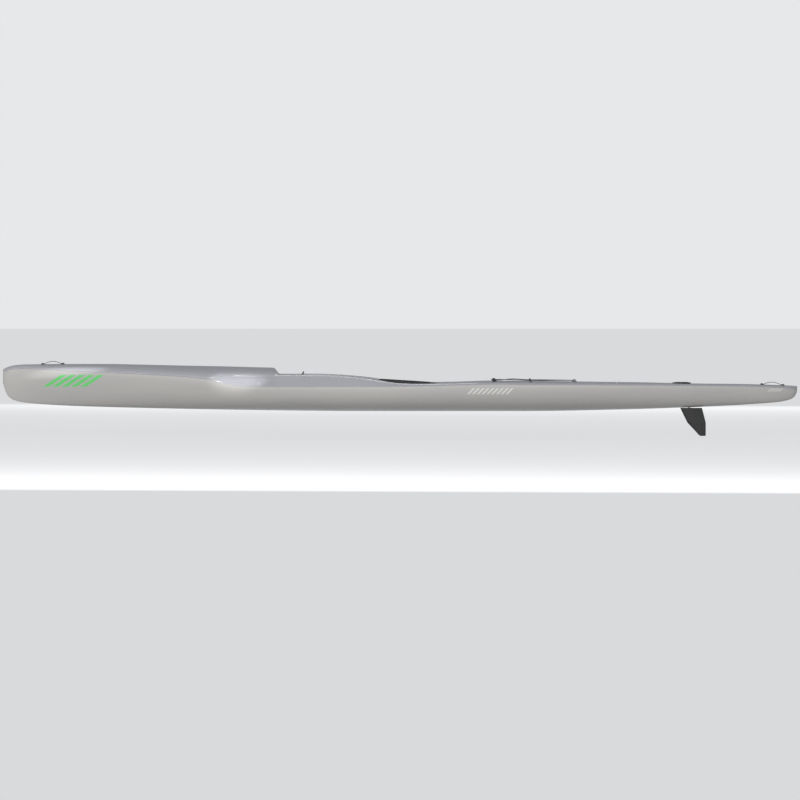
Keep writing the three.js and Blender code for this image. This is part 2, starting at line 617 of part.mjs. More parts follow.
function rudderBlade() {
  const rings = [
    bladeSection(rudder.tipFront, rudder.tipBack, rudder.tipThick, rudder.tip),
    bladeSection(
      (rudder.midFront + rudder.tipFront) / 2, rudder.tipBack, (rudder.midThick + rudder.tipThick) / 2,
      (rudder.mid + rudder.tip) / 2,
    ),
    bladeSection(rudder.midFront, rudder.midBack, rudder.midThick, rudder.mid),
    bladeSection(
      (rudder.rootFront + rudder.midFront) / 2, (rudder.rootBack + rudder.midBack) / 2,
      (rudder.rootThick + rudder.midThick) / 2, (rudder.root + rudder.mid) / 2,
    ),
    bladeSection(rudder.rootFront, rudder.rootBack, rudder.rootThick, rudder.root),
  ];
  const socket = post(
    rudder.stock + GAP, rudder.bury + OVERRUN, rudderX, 0, rudder.root - rudder.bury - GAP,
  );
  return cut(solidOf(loft(rings)), socket);
}

function rudderStock() {
  const foot = rudder.root - rudder.bury;
  return post(rudder.stock, tiller.foot + tiller.high + tiller.stockProud - foot, rudderX, 0, foot);
}

function sleeve(inside, outside, long, x, y, foot, sides = 14) {
  const profile = [[inside, 0], [outside, 0], [outside, long], [inside, long], [inside, 0]];
  return turned(profile, x, y, foot, sides);
}

function upperBush() {
  const inside = rudder.stock + GAP;
  const profile = [
    [inside, 0], [bush.outside, 0], [bush.outside, bush.long], [bush.flange, bush.long],
    [bush.flange, bush.long + bush.lip], [inside, bush.long + bush.lip], [inside, 0],
  ];
  return turned(profile, rudderX, 0, tube.top + GAP - bush.long, 14);
}

function tillerArm() {
  let body = post(tiller.hub, tiller.high, rudderX, 0, tiller.foot);
  const low = tiller.foot + tiller.armUp;
  body = join(body, block(tiller.long, tiller.half * 2, tiller.thick, rudderX, 0, low));
  body = cut(body, post(rudder.stock + GAP, OVERRUN, rudderX, 0, tiller.foot - OVERRUN / 2));
  [-1, 1].forEach((side) => {
    body = cut(body, post(tiller.bore, OVERRUN, rudderX, side * tiller.hole, tiller.foot, 8));
  });
  const bore = rodAcross(clampScrew.radius + GAP, clampScrew.long * 2, 0, 0, 0).rotate([0, 0, 90]);
  const height = tiller.foot + tiller.armUp / 2;
  return cut(body, bore.translate([rudderX + tiller.hub, 0, height]));
}

function tillerScrew() {
  const shank = rodAcross(clampScrew.radius, clampScrew.long, 0, 0, 0).rotate([0, 0, 90]);
  const head = rodAcross(clampScrew.head, clampScrew.headLong, 0, 0, 0, 6).rotate([0, 0, 90]);
  const reach = rudder.stock + GAP + clampScrew.long / 2;
  const height = tiller.foot + tiller.armUp / 2;
  const headAt = rudder.stock + GAP + clampScrew.long + clampScrew.headLong / 2;
  return join(
    shank.translate([rudderX + reach, 0, height]),
    head.translate([rudderX + headAt - GAP, 0, height]),
  );
}

const spacerFoot = rudder.root + GAP;
hullShell = cut(hullShell, post(tube.outside + GAP, OVERRUN * 2, rudderX, 0, 0));
place('rudder_blade', 'blade', rudderBlade());
place('rudder_stock', 'steel', rudderStock());
place('rudder_spacer', 'tube', sleeve(
  rudder.stock + GAP, tube.outside, keelAt(rudder.rootFront) - spacerFoot - GAP, rudderX, 0, spacerFoot,
));
place('rudder_tube', 'tube', sleeve(tube.inside, tube.outside, tube.top - tube.foot, rudderX, 0, tube.foot));
place('lower_bush', 'black', sleeve(rudder.stock + GAP, bush.outside, bush.long, rudderX, 0, tube.foot));
place('upper_bush', 'black', upperBush());
place('tiller_arm', 'alloy', tillerArm());
place('tiller_screw', 'steel', tillerScrew());

// Steering lines: each runs from its pedal along the well, through a guide tube inside the
// hull, to its end of the tiller. The places are for the starboard side.
const lines = { radius: 1.25, sides: 6, step: 90, guide: 3.5, bore: 2.1, guideSides: 6 };
const lineEnds = { up: 43, inFromEdge: 4, clear: 2.25 };
const lineShares = [
  // along, in shares of the length; across, of half the beam; up, of the depth
  [-0.1491, 0.489, 0.7025], [-0.1273, 0.543, 0.693], [-0.1045, 0.564, 0.678],
  [-0.0909, 0.686, 0.65], [-0.0727, 0.736, 0.6135], [-0.0455, 0.771, 0.54], [-0.0182, 0.829, 0.485],
  [0.0091, 0.85, 0.46], [0.0455, 0.814, 0.448], [0.0909, 0.732, 0.442], [0.1636, 0.571, 0.436],
  [0.2545, 0.375, 0.4325], [0.3273, 0.214, 0.4325],
];
const lineRoute = [
  [
    hingeAt.x + pedal.thick / 2 - (pedal.lean * lineEnds.up) / pedal.high + lineEnds.clear,
    uprightWide / 2 - hinge.lug - lineEnds.inFromEdge, hingeAt.z + lineEnds.up,
  ],
  ...lineShares.map(([along, across, up]) => [along * LENGTH, across * HALF, up * DEPTH]),
  [rudderX - tiller.long / 2 - tiller.lineRoom, tiller.hole, tiller.foot + tiller.lineUp],
];
const guideEnds = { proud: 4, back: 0.34 * LENGTH };
const FINE = 400;

function routeOf(side) {
  const points = lineRoute.map(([x, y, z]) => new THREE.Vector3(x, side * y, z));
  return new THREE.CatmullRomCurve3(points, false, 'centripetal');
}

// The first share of a route at which a test of its point holds.
function shareWhere(curve, test) {
  let i = 0;
  while (i < FINE && !test(curve.getPointAt(i / FINE))) i += 1;
  return i / FINE;
}

function samplesOf(curve, ends) {
  const count = Math.round(curve.getLength() / lines.step);
  const at = (share) => ({ share, point: curve.getPointAt(share), way: curve.getTangentAt(share) });
  const shares = Array.from({ length: count + 1 }, (_, i) => i / count);
  return [...shares.filter((s) => ends.every((e) => Math.abs(s - e) > 0.3 / count)), ...ends]
    .sort((a, b) => a - b).map(at);
}

// A ring round a sample of a route, level with the water.
function ringRound({ point, way }, radius, sides) {
  const across = new THREE.Vector3(0, 0, 1).cross(way).normalize();
  const up = way.clone().cross(across);
  return Array.from({ length: sides }, (_, i) => {
    const turn = (2 * Math.PI * i) / sides;
    return point.clone().addScaledVector(across, radius * Math.cos(turn))
      .addScaledVector(up, radius * Math.sin(turn)).toArray();
  });
}

const sweep = (samples, radius, sides) => solidOf(loft(samples.map((s) => ringRound(s, radius, sides))));

function steeringSide(word, side) {
  const route = routeOf(side);
  const start = shareWhere(route, (p) => Math.abs(p.y) > well.footHalf - guideEnds.proud - lines.guide);
  const end = shareWhere(route, (p) => p.x > guideEnds.back);
  const samples = samplesOf(route, [start, end]);
  const guided = samples.filter(({ share }) => share >= start && share <= end);
  const outer = sweep(guided, lines.guide, lines.guideSides);
  const first = guided[0];
  const last = guided[guided.length - 1];
  const stretched = [
    { ...first, point: first.point.clone().addScaledVector(first.way, -lines.guide) }, ...guided,
    { ...last, point: last.point.clone().addScaledVector(last.way, lines.guide) },
  ];
  const bore = sweep(stretched, lines.bore, lines.guideSides);
  const passage = sweep(guided.slice(0, 6), lines.guide + GAP, lines.guideSides);
  deckShell = cut(deckShell, passage);
  liner = cut(liner, passage);
  place(`guide_tube_${word}`, 'tube', cut(outer, bore));
  place(`rudder_line_${word}`, 'line', sweep(samples, lines.radius, lines.sides));
}
steeringSide('port', -1);
steeringSide('starboard', 1);

// Rudder hatch: a threaded ring on a flat seat in the deck, its cover and the seal between.
const hatch = {
  x: hatchX, seat: hatchSeat, opening: 51, neck: 56, flange: 72.5, neckDeep: 12, high: 6, lip: 2, boss: 7,
  cover: 65, coverHigh: 5, crown: 2, plugDeep: 8, grip: 88, gripWide: 10, gripHigh: 3.5,
  sealIn: 57, sealOut: 61, sealHigh: 1.6,
};
const seatRoom = 2;

function flatSeat(x, radius, seat, hole, boss) {
  const ring = post(radius + boss, WALL + boss / 2, x, 0, seat - WALL, 32);
  deckShell = join(deckShell, ring);
  const recess = post(radius + seatRoom, OVERRUN, x, 0, seat, 32);
  deckShell = cut(deckShell, recess, post(hole + GAP, OVERRUN, x, 0, seat - OVERRUN / 2, 28));
}

function hatchRing() {
  const profile = [
    [hatch.opening, -hatch.neckDeep], [hatch.neck, -hatch.neckDeep], [hatch.neck, 0],
    [hatch.flange, 0], [hatch.flange, hatch.lip], [hatch.flange - hatch.high, hatch.high],
    [hatch.opening, hatch.high], [hatch.opening, -hatch.neckDeep],
  ];
  return turned(profile, hatch.x, 0, hatch.seat + GAP, 28);
}

function hatchCover() {
  const low = hatch.high + hatch.sealHigh + 2 * GAP;
  const inner = hatch.opening - 2 * GAP;
  const profile = [
    [0, low - hatch.plugDeep], [inner, low - hatch.plugDeep], [inner, low], [hatch.cover, low],
    [hatch.cover, low + hatch.coverHigh / 2], [hatch.cover - hatch.coverHigh, low + hatch.coverHigh],
    [0, low + hatch.coverHigh + hatch.crown],
  ];
  const body = turned(profile, hatch.x, 0, hatch.seat + GAP, 28);
  const top = hatch.seat + GAP + low + hatch.coverHigh;
  return join(body, block(hatch.grip, hatch.gripWide, hatch.gripHigh, hatch.x, 0, top));
}

flatSeat(hatch.x, hatch.flange, hatch.seat, hatch.neck, hatch.boss);
place('hatch_ring', 'black', hatchRing());
place('hatch_seal', 'foam', sleeve(
  hatch.sealIn, hatch.sealOut, hatch.sealHigh, hatch.x, 0, hatch.seat + hatch.high + 2 * GAP, 28,
));
place('hatch_cover', 'black', hatchCover());

// Drain on the aft deck: a flanged bush and the plug screwed into it.
const drain = {
  x: 0.2727 * LENGTH, bore: 12, neck: 15, flange: 20, deep: 12, lip: 2, cap: 17, capHigh: 3,
  grip: 22, gripWide: 5, sink: 1.5,
};
const drainSeat = deckAt(drain.x) - drain.sink;

function drainBush() {
  const profile = [
    [drain.bore, -drain.deep], [drain.neck, -drain.deep], [drain.neck, 0], [drain.flange, 0],
    [drain.flange, drain.lip], [drain.bore, drain.lip], [drain.bore, -drain.deep],
  ];
  return turned(profile, drain.x, 0, drainSeat + GAP, 16);
}

function drainPlug() {
  const low = drain.lip + GAP;
  const inner = drain.bore - GAP;
  const profile = [
    [0, low - drain.deep], [inner, low - drain.deep], [inner, low], [drain.cap, low],
    [drain.cap, low + drain.capHigh], [0, low + drain.capHigh],
  ];
  const body = turned(profile, drain.x, 0, drainSeat + GAP, 16);
  const top = drainSeat + low + drain.capHigh;
  return join(body, block(drain.grip, drain.gripWide, drain.capHigh, drain.x, 0, top));
}
flatSeat(drain.x, drain.flange, drainSeat, drain.neck, drain.lip);
place('drain_bush', 'grey', drainBush());
place('drain_plug', 'grey', drainPlug());

// Bailer in the well's floor: a duct down through the hull and a flap that swings out below.
const bailer = {
  x: 0.586 * well.front, long: 70, wide: 36, wall: 4, flange: 10, lip: 3, foot: 2.6, flap: 3,
  flapGap: 1.2, room: 1, pin: 1.5, barrel: 3.2, lever: 5, leverWide: 8, leverUp: 5.6, leverIn: 14,
};
const flapHinge = {
  x: bailer.x - bailer.long / 2 + bailer.wall + bailer.barrel + bailer.room,
  z: bailer.foot + bailer.barrel + bailer.room,
};

function bailerHousing() {
  const top = well.foot + GAP;
  let body = block(bailer.long, bailer.wide, top + LEAST - bailer.foot, bailer.x, 0, bailer.foot);
  body = join(body, block(
    bailer.long + 2 * bailer.flange, bailer.wide + 2 * bailer.flange, bailer.lip, bailer.x, 0, top,
  ));
  const [long, wide] = [bailer.long - 2 * bailer.wall, bailer.wide - 2 * bailer.wall];
  body = cut(body, block(long, wide, OVERRUN * 2, bailer.x, 0, -OVERRUN));
  return cut(body, rodAcross(bailer.pin + GAP, bailer.wide * 2, flapHinge.x, 0, flapHinge.z, 8));
}

function bailerFlap() {
  const [long, wide] = [
    bailer.long - 2 * bailer.wall - bailer.flapGap, bailer.wide - 2 * bailer.wall - bailer.flapGap,
  ];
  const back = bailer.x + long / 2;
  const low = bailer.foot + bailer.room;
  let body = block(back - flapHinge.x, wide, bailer.flap, (back + flapHinge.x) / 2, 0, low);
  body = join(body, rodAcross(bailer.barrel, wide, flapHinge.x, 0, flapHinge.z, 10));
  const lever = flapHinge.x + bailer.leverIn;
  body = join(body, block(
    bailer.lever, bailer.leverWide, well.foot + bailer.leverUp - low, lever, 0, low,
  ));
  return cut(body, rodAcross(bailer.pin + GAP, bailer.wide * 2, flapHinge.x, 0, flapHinge.z, 8));
}

const ductHole = block(bailer.long + 2 * GAP, bailer.wide + 2 * GAP, OVERRUN * 2, bailer.x, 0, -OVERRUN);
place('bailer_housing', 'black', bailerHousing());
place('bailer_flap', 'black', bailerFlap());
const pinLong = bailer.wide - bailer.room;
place('bailer_pin', 'steel', rodAcross(bailer.pin, pinLong, flapHinge.x, 0, flapHinge.z, 8));

// Carry handles at both ends: a webbing arch under two clamp plates, each with one screw.
const handle = {
  wide: 20, thick: 3.5, tab: 24, steps: 10, plate: 3, plateWide: 26, shank: 2.3, head: 4.6,
  headHigh: 2.2, screwLong: 16, fromBow: 266, bowLong: 160, fromStern: 88, sternLong: 166, rise: 17,
};
const bowFront = handle.fromBow - LENGTH / 2;
const sternBack = LENGTH / 2 - handle.fromStern;
const handles = [
  { word: 'bow', front: bowFront, back: bowFront + handle.bowLong },
  { word: 'stern', front: sternBack - handle.sternLong, back: sternBack },
];

function handleStrap({ front, back }) {
  const [from, to] = [front + handle.tab, back - handle.tab];
  const over = [];
  const under = [];
  for (let i = 0; i <= handle.steps; i += 1) {
    const share = i / handle.steps;
    const x = from + (to - from) * share;
    const z = deckAt(x) + handle.rise * Math.sin(Math.PI * share) ** 0.8;
    over.push([x, z + GAP + handle.thick]);
    if (i > 0 && i < handle.steps) under.push([x, z + GAP]);
  }
  const outline = [
    [front, deckAt(front) - handle.thick], [front, deckAt(front) + GAP + handle.thick], ...over,
    [back, deckAt(back) + GAP + handle.thick], [back, deckAt(back) - handle.thick],
    [to, deckAt(to) - handle.thick], ...under.reverse(), [from, deckAt(from) - handle.thick],
  ];
  return sideCut(outline, handle.wide, 0);
}

function clampPlate(front) {
  const back = front + handle.tab - handle.thick;
  const foot = 2 * GAP + handle.thick;
  const outline = [
    [front, deckAt(front) + foot], [front, deckAt(front) + foot + handle.plate],
    [back, deckAt(back) + foot + handle.plate], [back, deckAt(back) + foot],
  ];
  return sideCut(outline, handle.plateWide, 0);
}

function screwAt(x, grow) {
  const top = deckAt(x) + 3 * GAP + handle.thick + handle.plate;
  const shank = post(handle.shank + grow, handle.screwLong, x, 0, top - handle.screwLong + GAP, 10);
  const [wide, high] = [handle.head, handle.headHigh];
  const profile = [[0, 0], [wide, 0], [wide * 0.7, high * 0.8], [0, high]];
  return grow > 0 ? shank : join(shank, turned(profile, x, 0, top, 12));
}

handles.forEach((spec) => {
  const inset = (handle.tab - handle.thick) / 2;
  const middles = [spec.front + inset, spec.back - inset];
  const holes = middles.map((x) => screwAt(x, GAP));
  place(`${spec.word}_handle_strap`, 'webbing', cut(seated(handleStrap(spec)), ...holes));
  [['front', spec.front], ['rear', spec.back - handle.tab + handle.thick]].forEach(([end, at], i) => {
    place(`${spec.word}_handle_plate_${end}`, 'black', cut(clampPlate(at), holes[i]));
    place(`${spec.word}_handle_screw_${end}`, 'steel', screwAt(middles[i], 0));
  });
  deckShell = cut(deckShell, ...holes);
});

// Deck eyes: five carry the shock cord behind the seat, two on the side decks take a leash.
const eye = {
  base: 34, baseWide: 13, baseHigh: 3, deep: 5, arch: 9.5, hole: 4.6, thick: 7, up: 7.5, steps: 8,
};
const eyeAt = {
  fore: 0.1187 * LENGTH, mid: 0.164 * LENGTH, aft: 0.2196 * LENGTH, out: 0.5286 * HALF,
  leash: 0.7226 * well.front, leashOut: 0.682 * HALF,
};
const cordEyes = [
  ['cord_eye_fore_port', eyeAt.fore, -eyeAt.out, -40],
  ['cord_eye_fore_starboard', eyeAt.fore, eyeAt.out, 40],
  ['cord_eye_mid_port', eyeAt.mid, -eyeAt.out, 77],
  ['cord_eye_mid_starboard', eyeAt.mid, eyeAt.out, -77],
  ['cord_eye_aft', eyeAt.aft, 0, 0],
];
const leashEyes = [
  ['leash_eye_port', eyeAt.leash, -eyeAt.leashOut, 90],
  ['leash_eye_starboard', eyeAt.leash, eyeAt.leashOut, 90],
];

function deckEye(x, y, yaw) {
  const arch = Array.from({ length: eye.steps + 1 }, (_, i) => {
    const turn = (Math.PI * i) / eye.steps;
    return [eye.arch * Math.cos(turn), eye.up + eye.arch * Math.sin(turn)];
  });
  const outline = [
    [eye.arch, 0], ...arch, [-eye.arch, 0],
  ];
  let body = sideCut(outline, eye.thick, 0);
  body = join(body, block(eye.base, eye.baseWide, eye.baseHigh + eye.deep, 0, 0, -eye.deep));
  body = cut(body, rodAcross(eye.hole, eye.baseWide * 2, 0, 0, eye.up + GAP, 10));
  return body.rotate([0, 0, yaw]).translate([x, y, deckTopAt(x, y) + GAP]);
}
cordEyes.forEach(([name, x, y, yaw]) => place(name, 'black', seated(deckEye(x, y, yaw))));

// The leash eyes stand in shallow moulded recesses that cross the flat of the side decks.
const recess = { deep: 0.6, room: 1.5 };
leashEyes.forEach(([name, x, y, yaw]) => {
  const [long, wide] = [eye.baseWide + 2 * recess.room, eye.base + 2 * recess.room];
  const hollow = block(long, wide, OVERRUN, x, y, deckTopAt(x, y) - recess.deep);
  const under = cut(deckOutside, hollow).translate([0, 0, GAP]);
  deckShell = cut(deckShell, hollow);
  place(name, 'black', deckEye(x, y, yaw).translate([0, 0, -recess.deep]).subtract(under));
});

// The shock cord: one length, knotted behind the two fore eyes, crossed once on its way to the
// mid eyes and led round the aft eye.
const cord = { radius: 2.6, sides: 6, knot: 6.4, knotLong: 10, step: 17 };
// Its places: along, 0 to 1 from the fore eyes to the mid ones and on to 2 at the aft eye; across,
// in shares of the eyes' offset; and, in radii, how far each lies above the eyes' holes.
const cordShares = [
  [-0.03, -1.061, 0], [0, -1, 0], [0.03, -0.939, 0], [0.189, -0.615, 0.4], [0.5, 0, 2.4],
  [0.811, 0.628, 0.4], [0.96, 0.96, 0], [1, 1, 0], [1.039, 1.007, 0], [1.19, 0.885, 0],
  [1.712, 0.311, 0], [1.935, 0.142, 0], [1.987, 0.074, 0], [2, 0, 0], [1.987, -0.074, 0],
  [1.935, -0.142, 0], [1.712, -0.311, 0], [1.19, -0.885, 0], [1.039, -1.007, 0], [1, -1, 0],
  [0.96, -0.96, 0], [0.811, -0.628, 0], [0.5, 0, 0], [0.189, 0.615, 0], [0.03, 0.939, 0],
  [0, 1, 0], [-0.03, 1.061, 0],
];
const cordAlong = (share) => (share < 1
  ? eyeAt.fore + (eyeAt.mid - eyeAt.fore) * share
  : eyeAt.mid + (eyeAt.aft - eyeAt.mid) * (share - 1));

function shockCord() {
  const holes = 2 * GAP + eye.up;
  const points = cordShares.map(([along, across, lift]) => {
    const [x, y] = [cordAlong(along), across * eyeAt.out];
    return new THREE.Vector3(x, y, deckTopAt(x, y) + holes + lift * cord.radius);
  });
  const curve = new THREE.CatmullRomCurve3(points, false, 'centripetal');
  const count = Math.round(curve.getLength() / cord.step);
  const samples = Array.from({ length: count + 1 }, (_, i) => (
    { point: curve.getPointAt(i / count), way: curve.getTangentAt(i / count) }
  ));
  const knots = [samples[0], samples[count]].map(({ point, way }, i) => {
    const outward = way.clone().multiplyScalar(i === 0 ? -1 : 1);
    return solidOf(new THREE.IcosahedronGeometry(cord.knot, 1).scale(1, 1, 0.85)
      .translate(...point.clone().addScaledVector(outward, cord.knotLong / 2).toArray()));
  });
  return join(sweep(samples, cord.radius, cord.sides), ...knots);
}
place('shock_cord', 'black', shockCord());

liner = cut(liner, ductHole);
hullShell = cut(hullShell, ductHole);
const thighTop = 0.29 * well.front;
place('foot_tunnel', 'deck', linerPart(well.front - OVERRUN, well.tunnelEnd));
place('foot_well', 'deck', linerPart(well.tunnelEnd, thighTop));
place('seat_well', 'deck', linerPart(thighTop, well.back + OVERRUN));
place('hull_shell', 'shell', hullShell);
place('deck_shell', 'deck', deckShell);

export default surfski;
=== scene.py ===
# %% [markdown]
# # A surfski
# This lesson dresses a imported model of a surfski, a long narrow craft that is paddled sitting on
# top. The imported model already holds every working piece at its real place, so the first step
# loads it.

import math

import bmesh
import bpy
import numpy as np
from mathutils import Matrix, Vector


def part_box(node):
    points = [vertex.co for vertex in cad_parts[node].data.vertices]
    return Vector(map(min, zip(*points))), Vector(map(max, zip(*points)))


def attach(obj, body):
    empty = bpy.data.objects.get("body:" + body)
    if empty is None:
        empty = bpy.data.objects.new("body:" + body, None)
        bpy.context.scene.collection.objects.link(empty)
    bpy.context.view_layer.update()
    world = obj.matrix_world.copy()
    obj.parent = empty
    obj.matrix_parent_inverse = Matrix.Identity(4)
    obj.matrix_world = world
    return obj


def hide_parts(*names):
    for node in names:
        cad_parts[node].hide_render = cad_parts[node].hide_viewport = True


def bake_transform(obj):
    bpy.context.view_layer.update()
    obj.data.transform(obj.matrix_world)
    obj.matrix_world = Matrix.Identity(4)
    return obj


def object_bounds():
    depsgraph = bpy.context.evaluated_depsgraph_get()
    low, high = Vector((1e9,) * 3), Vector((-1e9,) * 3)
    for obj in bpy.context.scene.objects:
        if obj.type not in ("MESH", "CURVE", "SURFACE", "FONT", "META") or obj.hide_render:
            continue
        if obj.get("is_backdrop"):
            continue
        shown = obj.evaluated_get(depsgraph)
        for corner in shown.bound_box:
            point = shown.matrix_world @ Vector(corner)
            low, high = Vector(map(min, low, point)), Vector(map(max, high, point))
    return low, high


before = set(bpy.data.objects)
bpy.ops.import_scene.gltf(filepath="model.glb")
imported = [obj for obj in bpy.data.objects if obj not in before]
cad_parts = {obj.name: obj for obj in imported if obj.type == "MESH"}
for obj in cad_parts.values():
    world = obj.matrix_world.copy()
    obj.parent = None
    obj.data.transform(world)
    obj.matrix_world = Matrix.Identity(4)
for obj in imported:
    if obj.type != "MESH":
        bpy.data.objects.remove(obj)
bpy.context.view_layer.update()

# %% Helpers for objects and node trees
def new_object(name, data):
    piece = bpy.data.objects.new(name, data)
    bpy.context.scene.collection.objects.link(piece)
    return piece


def new_material(name):
    material = bpy.data.materials.new(name)
    material.use_nodes = True
    tree = material.node_tree
    return material, tree, tree.nodes["Principled BSDF"]


def feed(tree, socket, value):
    """Give an input a number or colour, or link it to another node's output."""
    if isinstance(value, bpy.types.NodeSocket):
        tree.links.new(value, socket)
    else:
        socket.default_value = value


def put(tree, kind, **inputs):
    """Add a node, set its inputs by name and hand it back."""
    node = tree.nodes.new(kind)
    for name, value in inputs.items():
        feed(tree, node.inputs[name.replace("_", " ")], value)
    return node


def sums(tree, operation, *values):
    """One maths node; a value may be a number or a socket."""
    node = tree.nodes.new("ShaderNodeMath")
    node.operation = operation
    for socket, value in zip(node.inputs, values):
        feed(tree, socket, value)
    return node.outputs[0]


def product(tree, *values):
    """The product of two or more values, taken from the left."""
    result = values[0]
    for value in values[1:]:
        result = sums(tree, "MULTIPLY", result, value)
    return result


def blend_colours(tree, factor, first, second):
    node = tree.nodes.new("ShaderNodeMix")
    node.data_type = "RGBA"
    for name, value in (("Factor", factor), ("A", first), ("B", second)):
        sockets = [i for i in node.inputs if i.name == name and i.enabled]
        feed(tree, sockets[0 if name == "Factor" else -1], value)
    return [o for o in node.outputs if o.enabled][0]


def set_inputs(shader, **values):
    """Set a shader's plain numbers and colours by name."""
    for name, value in values.items():
        shader.inputs[name.replace("_", " ")].default_value = value


print("helpers ready")

# %% [markdown]
# The picture was taken square to the port side with a long lens, from very little above the
# water line. A long lens keeps the two ends the same size as the middle. The sizes below turn a
# pixel of the picture, which is 800 across, into a place on the craft.

# %% Camera
PICTURE_PX = 800
MM_PER_PX = 6.927
KEEL_ROW = 411.0
CAMERA_FAR = 42.0
CAMERA_UP = math.radians(1.4)
SENSOR_MM = 36.0


def put_camera():
    across = PICTURE_PX * MM_PER_PX / 1000
    middle = (KEEL_ROW - PICTURE_PX / 2) * MM_PER_PX / 1000
    data = bpy.data.cameras.new("side_camera")
    data.type = "PERSP"
    data.sensor_width = SENSOR_MM
    data.lens = SENSOR_MM * CAMERA_FAR / across
    data.clip_end = CAMERA_FAR * 4
    camera = new_object("side_camera", data)
    up, back = math.sin(CAMERA_UP) * CAMERA_FAR, math.cos(CAMERA_UP) * CAMERA_FAR
    camera.location = (0, -back, middle + up)
    camera.rotation_euler = (math.pi / 2 - CAMERA_UP, 0, 0)
    bpy.context.scene.camera = camera
    return camera


camera = put_camera()
print("lens", round(camera.data.lens, 1), "mm at", CAMERA_FAR, "m")

# %% [markdown]
# ## Light and floor
# The craft was lit from above and all round, like a boat under a bright sky: its sides are an
# even grey that falls off below the turn of the bilge. A wide lamp low on the camera's side does
# most of that, with a weaker one on the far side, a faint one overhead and an even world. Two
# narrow beams stand for the bright patch in the scoop ahead of the cockpit and the bright line
# along the edge of the bow. The floor is pale to the camera and to reflections. To the soft
# light it bounces it is darker, so that the bottom keeps its shade.

# %% Lamps, world and floor
FLOOR_Z = -0.19
FLOOR_COLOUR = (0.8, 0.805, 0.815, 1)
FLOOR_BOUNCE = (0.22, 0.22, 0.225, 1)
FLOOR_REACH, FLOOR_GLOW = 60.0, 0.8
WORLD_COLOUR, WORLD_STRENGTH = (0.84, 0.86, 0.9, 1), 0.4
GLINT_OUT, GLINT_UP = -3.0, 3.0


def aimed(name, data, place, aim):
    light = new_object(name, data)
    light.location = place
    way = Vector(aim) - Vector(place)
    light.rotation_euler = way.to_track_quat("-Z", "Y").to_euler()
    return light


def lamp(name, place, aim, size, watts, colour):
    data = bpy.data.lights.new(name, "AREA")
    data.shape = "RECTANGLE"
    data.size, data.size_y = size
    data.energy = watts
    data.color = colour
    return aimed(name, data, place, aim)


def glint(name, aim, angle, stretch, watts):
    """A narrow beam from high on the port side, stretched along the craft."""
    data = bpy.data.lights.new(name, "SPOT")
    data.energy = watts
    data.spot_size = angle
    data.spot_blend = 1.0
    data.shadow_soft_size = 0.01
    aimed(name, data, (aim[0], GLINT_OUT, GLINT_UP), aim).scale = (stretch, 1, 1)


def seen_ray(tree):
    """A 0 to 1 value that is 1 on camera, glossy and transmission rays."""
    path = put(tree, "ShaderNodeLightPath").outputs
    near = sums(tree, "MAXIMUM", path["Is Camera Ray"], path["Is Glossy Ray"])
    return sums(tree, "MAXIMUM", near, path["Is Transmission Ray"])


def mixed_shader(tree, factor, first, second):
    mix = put(tree, "ShaderNodeMixShader", Fac=factor)
    tree.links.new(first.outputs[0], mix.inputs[1])
    tree.links.new(second.outputs[0], mix.inputs[2])
    return mix.outputs[0]


def pale_floor():
    data = bpy.data.meshes.new("floor")
    r = FLOOR_REACH
    corners = [(x, y, FLOOR_Z) for x, y in ((-r, -r), (r, -r), (r, r), (-r, r))]
    data.from_pydata(corners, [], [(0, 1, 2, 3)])
    floor = new_object("floor", data)
    material, tree, shader = new_material("pale_floor")
    set_inputs(shader, Roughness=0.9)
    colour = blend_colours(tree, seen_ray(tree), FLOOR_BOUNCE, FLOOR_COLOUR)
    tree.links.new(colour, shader.inputs["Base Color"])
    glow = put(tree, "ShaderNodeEmission", Color=FLOOR_COLOUR)
    both = mixed_shader(tree, product(tree, seen_ray(tree), FLOOR_GLOW), shader, glow)
    tree.links.new(both, tree.nodes["Material Output"].inputs["Surface"])
    data.materials.append(material)
    floor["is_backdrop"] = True


def even_world():
    world = bpy.data.worlds.new("sky")
    world.use_nodes = True
    tree = world.node_tree
    sky = tree.nodes["Background"]
    set_inputs(sky, Color=WORLD_COLOUR, Strength=WORLD_STRENGTH)
    seen = put(tree, "ShaderNodeBackground", Color=FLOOR_COLOUR, Strength=1.0)
    to_camera = put(tree, "ShaderNodeLightPath").outputs["Is Camera Ray"]
    both = mixed_shader(tree, to_camera, sky, seen)
    tree.links.new(both, tree.nodes["World Output"].inputs["Surface"])
    bpy.context.scene.world = world


even_world()
pale_floor()
lamp("overhead", (0, -1.0, 5.0), (0, 0, 0.1), (9.0, 3.0), 10, (0.94, 0.96, 1))
lamp("port_fill", (-1.0, -9.0, 1.6), (0, 0, 0.1), (12.0, 3.0), 810, (1, 0.99, 0.975))
far_side = lamp("starboard_fill", (1.0, 9.0, 1.3), (0, 0, 0.1), (10.0, 2.0), 330, (0.97, 0.985, 1))
far_side.visible_glossy = False
glint("scoop_glint", (-1.115, -0.185, 0.213), 0.046, 2.6, 520)
glint("bow_edge_glint", (-2.3, -0.075, 0.2795), 0.009, 10.0, 400)
bpy.context.scene.view_settings.view_transform = "Standard"
print("three soft lamps, two glints, an even world and a pale floor at", FLOOR_Z)

# %% [markdown]
# ## The lines of the craft
# A boat is drawn as a few long curves: the keel, the seam between its two mouldings, the deck's
# middle and the half-breadth. Each is kept as shares of the length against shares of the depth
# or half-beam, and a smooth curve goes through them. Fairing then takes out the small waves that
# listed points leave, because a glossy side shows every one of them.

# %% Sizes and the long curves
LENGTH, BEAM, DEPTH = 5.5, 0.56, 0.326
HALF = BEAM / 2
WALL = 0.003
GAP = 0.0003

